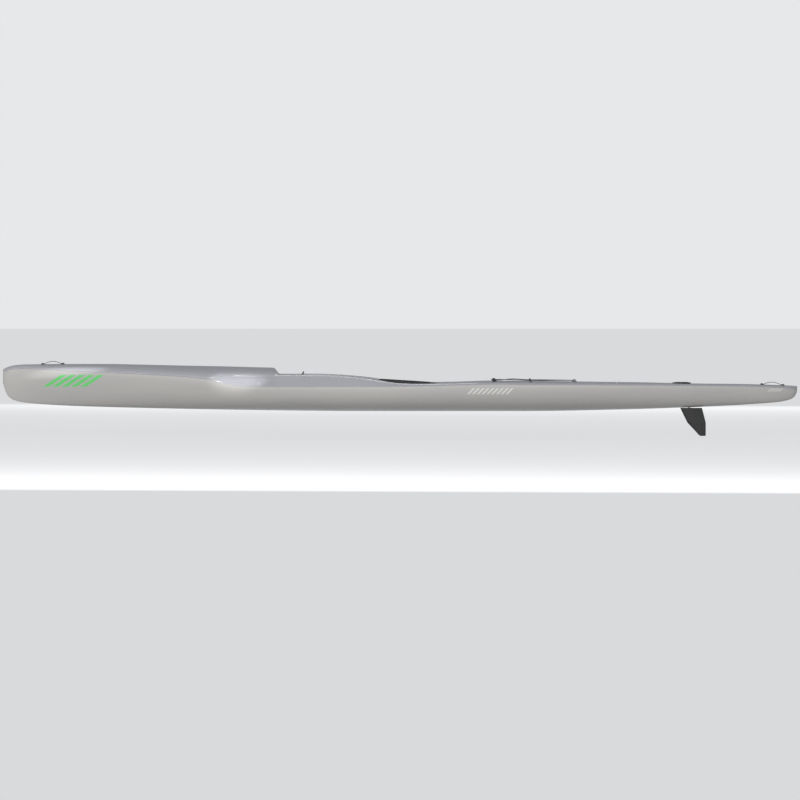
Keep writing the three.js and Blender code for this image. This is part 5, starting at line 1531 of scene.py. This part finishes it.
lid_profile = [
    (0, spigot_low), (inner, spigot_low), (inner, lid_low), (COVER_OUT, lid_low),
    (COVER_OUT, lid_low + 0.0022), (COVER_OUT - 0.0014, lid_low + 0.0038),
    (COVER_OUT - COVER_HIGH, lid_top), (0.048, lid_top + 0.0006), (0.0475, lid_top - 0.0006),
    (0.0455, lid_top - 0.0006), (0.045, lid_top + 0.0008), (0.02, lid_top + COVER_CROWN * 0.9),
    (0, lid_top + COVER_CROWN),
]
cover = {"node": "hatch_cover", "body": "hatch_cover", "edge": 0.0003}
round_piece("hatch_lid", lid_profile, hatch_at, **cover, **black)
GRIP_LONG, GRIP_WIDE, GRIP_HIGH = 0.088, 0.01, 0.0035
grip_foot, grip_top = hatch_at[2] + lid_low + 0.0035, hatch_at[2] + lid_top + GRIP_HIGH
grip = stadium("hatch_grip", GRIP_LONG, GRIP_WIDE, grip_foot, grip_top)
grip = new_object("hatch_grip", grip)
grip.data.transform(Matrix.Translation((HATCH_X, 0, 0)))
round_edges(grip, 40, 0.0018, 4)
fitted(grip, nylon, "hatch_cover", "black_nylon", smooth=45)
rib = pill("rib", 0.0009, 0.0072, 10)
rim_ribs = []
for k in range(LID_RIBS):
    angle = 2 * math.pi * k / LID_RIBS
    rim_ribs.append((on_circle(angle, 0.0618, lid_low + 0.0037), angle))
ribs = bpy.data.meshes.new("ribs")
shape = bmesh.new()
for place, angle in rim_ribs:
    one = rib.copy()
    sloped = Matrix.Rotation(angle, 4, "Z") @ Matrix.Rotation(0.42, 4, "Y")
    one.transform(Matrix.Translation(place) @ sloped)
    shape.from_mesh(one)
shape.to_mesh(ribs)
shape.free()
ribs.shade_smooth()
rim = new_object("hatch_lid_ribs", ribs)
dress(rim, nylon)
placed(rim, "hatch_cover", "black_nylon")

drain_at = (DRAIN_X, 0, drain_seat + GAP)
pale = {"material": pale_nylon, "slot": "pale_nylon", "edge": 0.0003, "count": 64}
bush_profile = [
    (0.012, -0.012), (DRAIN_NECK, -0.012), (DRAIN_NECK, 0), (DRAIN_FLANGE, 0),
    (DRAIN_FLANGE, 0.0012), (DRAIN_FLANGE - 0.0012, 0.002), (0.012, 0.002),
]
round_piece("drain_flange", bush_profile, drain_at, "drain_bush", **pale)
plug_low = 0.002 + GAP
plug_profile = [
    (0, plug_low - 0.012), (0.0117, plug_low - 0.012), (0.0117, plug_low), (0.017, plug_low),
    (0.017, plug_low + 0.002), (0.016, plug_low + 0.003), (0, plug_low + 0.003),
]
round_piece("drain_cap", plug_profile, drain_at, "drain_plug", body="drain_plug", **pale)
bar_foot = drain_at[2] + plug_low + 0.0025
bar = new_object("drain_bar", stadium("drain_bar", 0.022, 0.005, bar_foot, bar_foot + 0.0032, 10))
bar.data.transform(Matrix.Translation((DRAIN_X, 0, 0)))
round_edges(bar, 40, 0.0012, 3)
fitted(bar, pale_nylon, "drain_plug", "pale_nylon", smooth=45)
print("hatch with", len(rim_ribs), "ribs and", len(ring_screws), "screws, drain plug with its bar")

# %% Rudder blade
BLADE_LOW, BLADE_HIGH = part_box("rudder_blade")
BLADE_DEEP = BLADE_HIGH.z - BLADE_LOW.z
BLADE_FRONT = [(0, -0.061), (0.27, -0.036), (0.531, -0.0104), (0.77, 0.034), (1, 0.074)]
BLADE_BACK = [(0, 0.09), (0.27, 0.1035), (0.531, 0.1164), (1, 0.1164)]
BLADE_THICK = [(0, 0.018), (0.531, 0.014), (1, 0.005)]
FOIL_STEPS, FOIL_EDGE = 36, 0.0006
TIP_ROUND, TIP_PULL = 0.045, 0.009
SOCKET_OUT, SOCKET_DEEP = 0.0053, 0.0883


def foil(front, back, thick, z):
    """A foil section from the trailing edge round the nose and back."""
    turn = np.linspace(0, 2 * math.pi, 2 * FOIL_STEPS, endpoint=False)
    share = (1 + np.cos(turn)) / 2
    fore = 0.2969 * np.sqrt(share) - 0.126 * share - 0.3516 * share**2
    half = 5 * (fore + 0.2843 * share**3 - 0.1015 * share**4)
    y = (thick * half + FOIL_EDGE * share * (1 - 0.5 * share)) * np.sign(np.sin(turn) + 1e-12)
    y[np.abs(np.sin(turn)) < 1e-9] = 0
    return np.column_stack([front + (back - front) * share, y, np.full(len(share), z)])


def table_at(table, share):
    return float(np.interp(share, [row[0] for row in table], [row[1] for row in table]))


tip = 1 - TIP_ROUND * np.cos(np.linspace(0, math.pi / 2, 12))[1:]
deep = np.concatenate([np.linspace(0, 1 - TIP_ROUND, 40), tip])
rings = []
for share in deep:
    near_tip = max((share - (1 - TIP_ROUND)) / TIP_ROUND, 0)
    shrink = math.sqrt(max(1 - near_tip**2, 0.0004))
    pull = TIP_PULL * (1 - shrink)
    front = RUDDER_X + table_at(BLADE_FRONT, share) + pull
    back = RUDDER_X + table_at(BLADE_BACK, share) - pull * 0.6
    thick = table_at(BLADE_THICK, share) * shrink
    rings.append(foil(front, back, thick, BLADE_HIGH.z - share * BLADE_DEEP))
blade = new_object("rudder_foil", loft_mesh("rudder_foil", rings))
socket = [(0, 0), (SOCKET_OUT, 0), (SOCKET_OUT, 0.15), (0, 0.15)]
socket = turned("socket", socket, (RUDDER_X, 0, BLADE_HIGH.z - SOCKET_DEEP), 32)
combine(blade, socket, "DIFFERENCE")
fitted(blade, composite, "rudder", "rudder_composite", "rudder_blade")
print("rudder blade", round(BLADE_DEEP, 4), "m deep")

# %% [markdown]
# ## The foot rest
# Two rails are screwed to the well's floor. A raked plate slides along them, two knobs lock it,
# two pedals tilt on its top edge and a strap goes over the feet. Everything a foot touches has
# a grip: raised dots on the plate and bars on the pedals, each one shape copied in rows.

# %% Foot rails
RAIL_HIGH, RAIL_SLOT, RAIL_LIP, RAIL_ROOM, RAIL_SCREW_IN = 0.009, 0.008, 0.003, 0.014, 0.01


rail_screws = []
for word, side in (("port", -1), ("starboard", 1)):
    low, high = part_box(f"foot_rail_{word}")
    middle = (low.y + high.y) / 2
    half, slot, room, up = (high.y - low.y) / 2, RAIL_SLOT / 2, RAIL_ROOM / 2, RAIL_HIGH - RAIL_LIP
    right = [(half, 0), (half, RAIL_HIGH), (slot, RAIL_HIGH), (slot, up)]
    right += [(room, up), (room, RAIL_LIP)]
    section = [(-half, 0), *right, *((-y, z) for y, z in right[:0:-1])]
    outline = [(middle + y, low.z + z) for y, z in section]
    rail = new_object(f"rail_{word}", front_prism("rail", outline, low.x, high.x))
    round_edges(rail, 40, 0.0006, 2)
    fitted(rail, alloy, "craft", "alloy", f"foot_rail_{word}")
    for x in (low.x + RAIL_SCREW_IN, high.x - RAIL_SCREW_IN):
        rail_screws.append((Vector((x, middle, low.z + RAIL_LIP)), UP))
copies("rail_screw_heads", screw_master(0.0032, 0.0016), rail_screws, steel, 0.3)
print("two rails", round(high.x - low.x, 3), "m long")

# %% Foot plate with its grip
PLATE_LOW, PLATE_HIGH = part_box("footplate")
PIN_LOW, PIN_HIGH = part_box("pedal_hinge_pin")
HINGE = (PIN_LOW + PIN_HIGH) / 2
PLATE_LONG, PLATE_WIDE, PLATE_THICK, UPRIGHT, RAKE = 0.12, 0.232, 0.004, 0.005, 0.036
LUG, BARREL, BOLT_ROOM, GUSSETS = 0.018, 0.006, 0.0036, (0.25, 0.42)
CELL_Y, CELL_HALF = 0.028, 0.004
plate_front, plate_back = PLATE_HIGH.x - PLATE_LONG, PLATE_HIGH.x
plate_top = PLATE_LOW.z + PLATE_THICK
upright_top, upright_foot = HINGE.z - 0.007, plate_front + UPRIGHT
plate_half, upright_half = PLATE_WIDE / 2, (PLATE_HIGH.y - PLATE_LOW.y) / 2
knob_low, knob_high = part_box("lock_knob_starboard")
KNOB_X, KNOB_Y = (knob_low.x + knob_high.x) / 2, (knob_low.y + knob_high.y) / 2


def across_rod(radius, half, x, y, z, count=32):
    """A round bar lying across the craft."""
    mesh = turned("rod", rod_profile(radius, half), (0, 0, 0), count)
    mesh.transform(Matrix.Translation((x, y, z)) @ Matrix.Rotation(math.pi / 2, 4, "X"))
    return new_object("rod", mesh)


tray_low, tray_high = (plate_front, -plate_half, PLATE_LOW.z), (plate_back, plate_half, plate_top)
tray = new_object("foot_tray", block("foot_tray", tray_low, tray_high))
bury = 0.0015
face = [
    (upright_foot, plate_top - bury), (upright_foot + UPRIGHT, plate_top - bury),
    (upright_foot + UPRIGHT - RAKE, upright_top), (upright_foot - RAKE, upright_top),
]
combine(tray, side_prism("upright", face, upright_half), "UNION")
gusset = [
    (upright_foot, plate_top - bury), (upright_foot + RAKE, plate_top - bury),
    (upright_foot - RAKE / 3, plate_top + RAKE),
]
for y in (-GUSSETS[1], -GUSSETS[0], *GUSSETS):
    mesh = side_prism("gusset", gusset, UPRIGHT / 2)
    mesh.transform(Matrix.Translation((0, y * PLATE_WIDE, 0)))
    combine(tray, mesh, "UNION")
lug_at = upright_half - LUG / 2
for y in (-lug_at, 0, lug_at):
    combine(tray, across_rod(BARREL, LUG / 2, HINGE.x, y, HINGE.z), "UNION")
    lug_low = (HINGE.x - BARREL, y - LUG / 2 + 1e-5, HINGE.z - 2 * BARREL)
    lug_high = (HINGE.x + BARREL * 0.9, y + LUG / 2 - 1e-5, HINGE.z)
    combine(tray, block("lug", lug_low, lug_high), "UNION")
for side in (-1, 1):
    hole = turned("hole", rod_profile(BOLT_ROOM, 0.02), (KNOB_X, side * KNOB_Y, plate_top), 32)
    combine(tray, hole, "DIFFERENCE")
    for low, high in ((0.25, 0.42), (0.58, 0.75)):
        near, far = plate_front + low * PLATE_LONG, plate_front + high * PLATE_LONG
        slot_low = (near, side * CELL_Y - CELL_HALF, PLATE_LOW.z - 0.01)
        slot_high = (far, side * CELL_Y + CELL_HALF, plate_top + 0.01)
        combine(tray, block("slot", slot_low, slot_high), "DIFFERENCE")
combine(tray, across_rod(0.0031, upright_half + 0.01, HINGE.x, 0, HINGE.z), "DIFFERENCE")
round_edges(tray, 40, 0.0007, 2)
fitted(tray, nylon, "footrest", "black_nylon", "footplate")

dot = [(0, -0.0004), (0.0026, -0.0004), (0.0025, 0.0003), (0.0017, 0.0009), (0, 0.0011)]
dot = turned("dot", dot, (0, 0, 0), 12)
dot.shade_smooth()
slant = Vector((-RAKE, 0, upright_top - plate_top + bury))
facing = Vector((slant.z, 0, RAKE)).normalized()
dots = []
ROWS, FLAT_ROWS, EACH, DOT_PITCH, ROW_PITCH = 10, 5, 18, 0.0128, 0.0135


def row_of_dots(row):
    """The places across the plate of a row's dots, every other row set off by half a pitch."""
    return [(k - (EACH - 1) / 2 + 0.5 * (row % 2)) * DOT_PITCH for k in range(EACH)]


foot = Vector((upright_foot + UPRIGHT, 0, plate_top - bury))
for row in range(ROWS):
    start = foot + slant * (0.1 + 0.82 * row / (ROWS - 1))
    over_gussets = start.z > plate_top + RAKE + 0.004
    for y in row_of_dots(row):
        clear = all(abs(abs(y) - share * PLATE_WIDE) > 0.006 for share in GUSSETS)
        if abs(y) < upright_half - 0.008 and (over_gussets or clear):
            dots.append((start + ACROSS * y, facing))
for row in range(FLAT_ROWS):
    x = plate_front + 0.05 + ROW_PITCH * row
    for y in row_of_dots(row):
        off_knob, off_slot = abs(abs(y) - KNOB_Y) > 0.02, abs(abs(y) - CELL_Y) > 0.0075
        if off_knob and abs(y) < 0.095 and off_slot:
            dots.append((Vector((x, y, plate_top)), UP))
copies("foot_plate_dots", dot, dots, nylon, body="footrest", slot="black_nylon")
print("foot plate with", len(dots), "grip dots")

# %% Pedals and lock knobs
PEDAL_THICK, PEDAL_LEAN, PEDAL_CORNER, KNOB_LOBES, LOBE_DEEP = 0.005, 0.014, 0.014, 6, 0.17
PEDAL_BARS, BARS_FROM, BAR_PITCH = 6, 0.013, 0.0064


def pedal_plate(low, high, top):
    """An upright plate with round upper corners, sheared to the pedal's lean."""
    turn = np.linspace(0, math.pi / 2, 9)
    out, up = PEDAL_CORNER * (1 - np.cos(turn)), PEDAL_CORNER * (1 - np.sin(turn))
    ring = [(low, 0.0), (high, 0.0), *zip(high - out, top - up), *zip(low + up, top - out)]
    rings = []
    for x in (-PEDAL_THICK / 2, PEDAL_THICK / 2):
        rings.append([(HINGE.x + x - PEDAL_LEAN * z / top, y, HINGE.z + z) for y, z in ring])
    return loft_mesh("pedal_plate", rings)


for word, side in (("port", -1), ("starboard", 1)):
    low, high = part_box(f"pedal_{word}")
    top = high.z - HINGE.z
    middle, half = (low.y + high.y) / 2, (high.y - low.y) / 2
    pedal = new_object(f"steering_pedal_{word}", pedal_plate(low.y, high.y, top))
    combine(pedal, across_rod(BARREL, half, HINGE.x, middle, HINGE.z), "UNION")
    combine(pedal, across_rod(0.0033, half * 1.2, HINGE.x, middle, HINGE.z), "DIFFERENCE")
    round_edges(pedal, 45, 0.0009, 2)
    fitted(pedal, nylon, f"pedal_{word}", "black_nylon", f"pedal_{word}")
    lean = Vector((top, 0, PEDAL_LEAN)).normalized()
    bars = []
    for k in range(PEDAL_BARS):
        z = BARS_FROM + BAR_PITCH * k
        x = HINGE.x + PEDAL_THICK / 2 - PEDAL_LEAN * z / top
        bars.append((Vector((x, middle - side * 0.004, HINGE.z + z)), lean))
    bar = pill("bar", 0.0011, 2 * half - 0.034, 10)
    copies(f"pedal_bars_{word}", bar, bars, nylon, math.pi / 2, f"pedal_{word}", "black_nylon")
    low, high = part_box(f"lock_knob_{word}")
    reach, tall = (high.y - low.y) / 2, high.z - low.z
    profile = [
        (0.0033, 0), (0.007, 0), (0.007, 0.003), (reach * 0.92, 0.0046), (reach, 0.0062),
        (reach, tall * 0.78), (reach * 0.93, tall * 0.92), (reach * 0.72, tall),
        (reach * 0.5, tall * 0.97), (0.004, tall * 0.94), (0.0033, tall * 0.9),
    ]
    knob = turned(f"star_knob_{word}", profile, (0, 0, 0), 144)
    for vertex in knob.vertices:
        out = math.hypot(vertex.co.x, vertex.co.y)
        wave = 0.5 - 0.5 * math.cos(KNOB_LOBES * math.atan2(vertex.co.y, vertex.co.x))
        shrink = 1 - LOBE_DEEP * wave * min(max((out - 0.0075) / 0.004, 0), 1)
        vertex.co.x *= shrink
        vertex.co.y *= shrink
    knob.transform(Matrix.Translation((KNOB_X, side * KNOB_Y, low.z)))
    knob = new_object(f"star_knob_{word}", knob)
    fitted(knob, nylon, f"lock_knob_{word}", "black_nylon", f"lock_knob_{word}", smooth=50)
print("pedals tilt about", [round(v, 4) for v in HINGE])

# %% Foot strap, its buckle and screws
STRAP_LOW, STRAP_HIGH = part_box("foot_strap")
BUCKLE_LOW, BUCKLE_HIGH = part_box("strap_buckle")
STRAP_THICK, STRAP_TAB, STRAP_BEND = 0.0025, 0.014, 0.004
strap_x, strap_wide = (STRAP_LOW.x + STRAP_HIGH.x) / 2, (STRAP_HIGH.x - STRAP_LOW.x) / 2
tab_end, strap_foot = STRAP_HIGH.y, STRAP_LOW.z + STRAP_THICK / 2
arch_half = tab_end - STRAP_TAB + STRAP_THICK / 2
arch_high = STRAP_HIGH.z - STRAP_LOW.z - 1.5 * STRAP_THICK
tab = np.linspace(tab_end, arch_half + STRAP_BEND + 0.001, 5)
half_way = [Vector((strap_x, y, strap_foot)) for y in tab]
for angle in np.linspace(0, math.pi / 2, 7):
    y = arch_half + STRAP_BEND * (1 - math.sin(angle))
    half_way.append(Vector((strap_x, y, strap_foot + STRAP_BEND * (1 - math.cos(angle)))))
for turn in np.linspace(0.05, math.pi / 2, 30):
    z = STRAP_LOW.z + STRAP_THICK + arch_high * math.sin(turn) ** 0.8
    half_way.append(Vector((strap_x, arch_half * math.cos(turn), z)))
whole_way = half_way + [Vector((q.x, -q.y, q.z)) for q in half_way[-2::-1]]
whole_way = smooth_path(whole_way, 0.002)
foot_band = strap_piece("foot_band", whole_way, ALONG, strap_wide, STRAP_THICK, webbing)
placed(foot_band, "footrest", "webbing", "foot_strap")
tab_screws, stitches = [], []
for side in (-1, 1):
    for x in (-0.01, 0.01):
        place = Vector((strap_x + x, side * (tab_end - 0.006), STRAP_LOW.z + STRAP_THICK))
        tab_screws.append((place, UP))
copies("strap_screw_heads", screw_master(0.0038, 0.0018), tab_screws, steel, 0.2, "footrest")
for edge in (-0.0155, 0.0155):
    for turn in np.linspace(0.5, math.pi - 0.5, 46):
        z = STRAP_LOW.z + STRAP_THICK + (arch_high + STRAP_THICK / 2) * math.sin(turn) ** 0.8
        out = Vector((0, math.cos(turn) * arch_high, math.sin(turn) * arch_half)).normalized()
        y = (arch_half + STRAP_THICK / 2) * math.cos(turn)
        stitches.append((Vector((strap_x + edge, y, z)), out))
stitch = pill("stitch", STITCH, 0.0026)
copies("foot_band_stitches", stitch, stitches, pale_nylon, math.pi / 2, "footrest", "webbing")
buckle = new_object("band_buckle", block("band_buckle", BUCKLE_LOW, BUCKLE_HIGH, 0.0014, 4))
slot_half, slot_reach = 0.0021, strap_wide + 0.0006
for y in (-0.0055, 0.0055):
    low = (strap_x - slot_reach, y - slot_half, BUCKLE_LOW.z - 0.01)
    high = (strap_x + slot_reach, y + slot_half, BUCKLE_HIGH.z + 0.01)
    combine(buckle, block("gap", low, high), "DIFFERENCE")
round_edges(buckle, 50, 0.0005, 2)
fitted(buckle, nylon, "footrest", "black_nylon", "strap_buckle")
print("foot band", round(2 * arch_half, 3), "m across with", len(stitches), "stitches")

# %% Bailer and tiller
def rounded_copy(name, node, width, material, body, slot):
    """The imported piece's own shape as a new mesh with its sharp edges rounded."""
    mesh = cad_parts[node].data.copy()
    mesh.materials.clear()
    shape = bmesh.new()
    shape.from_mesh(mesh)
    bmesh.ops.remove_doubles(shape, verts=shape.verts, dist=MERGE)
    flat = {"angle_limit": math.radians(1), "verts": shape.verts, "edges": shape.edges}
    bmesh.ops.dissolve_limit(shape, **flat)
    shape.to_mesh(mesh)
    shape.free()
    piece = round_edges(new_object(name, mesh), 35, width, 2)
    return fitted(piece, material, body, slot, node)


rounded_copy("bailer_frame", "bailer_housing", 0.0009, nylon, "craft", "black_nylon")
rounded_copy("bailer_door", "bailer_flap", 0.0006, nylon, "bailer_flap", "black_nylon")
rounded_copy("tiller", "tiller_arm", 0.0008, alloy, "rudder", "alloy")
print("bailer and tiller rounded")

# %% [markdown]
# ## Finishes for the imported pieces
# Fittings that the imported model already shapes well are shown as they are. Their meshes stay
# untouched and each only gets a finish, found by its packed material's slot.

# %% Finishes on the pieces carried over
FINISH_OF_SLOT = {
    "stainless": steel,
    "black_nylon": nylon,
    "guide_plastic": guide_plastic,
    "core_foam": core,
}
shown = [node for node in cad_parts.values() if not node.hide_render]
for node in shown:
    dress(node, FINISH_OF_SLOT[node.data.materials[0].name])
print("carried over", len(shown), "packed pieces")

# %% [markdown]
# ## Last measures
# The box round every piece shown, the floor left out, is measured and printed.

# %% Measure the sizes and finish
reach = [list(map(float, corner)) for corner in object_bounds()]
print("dressed box", reach)
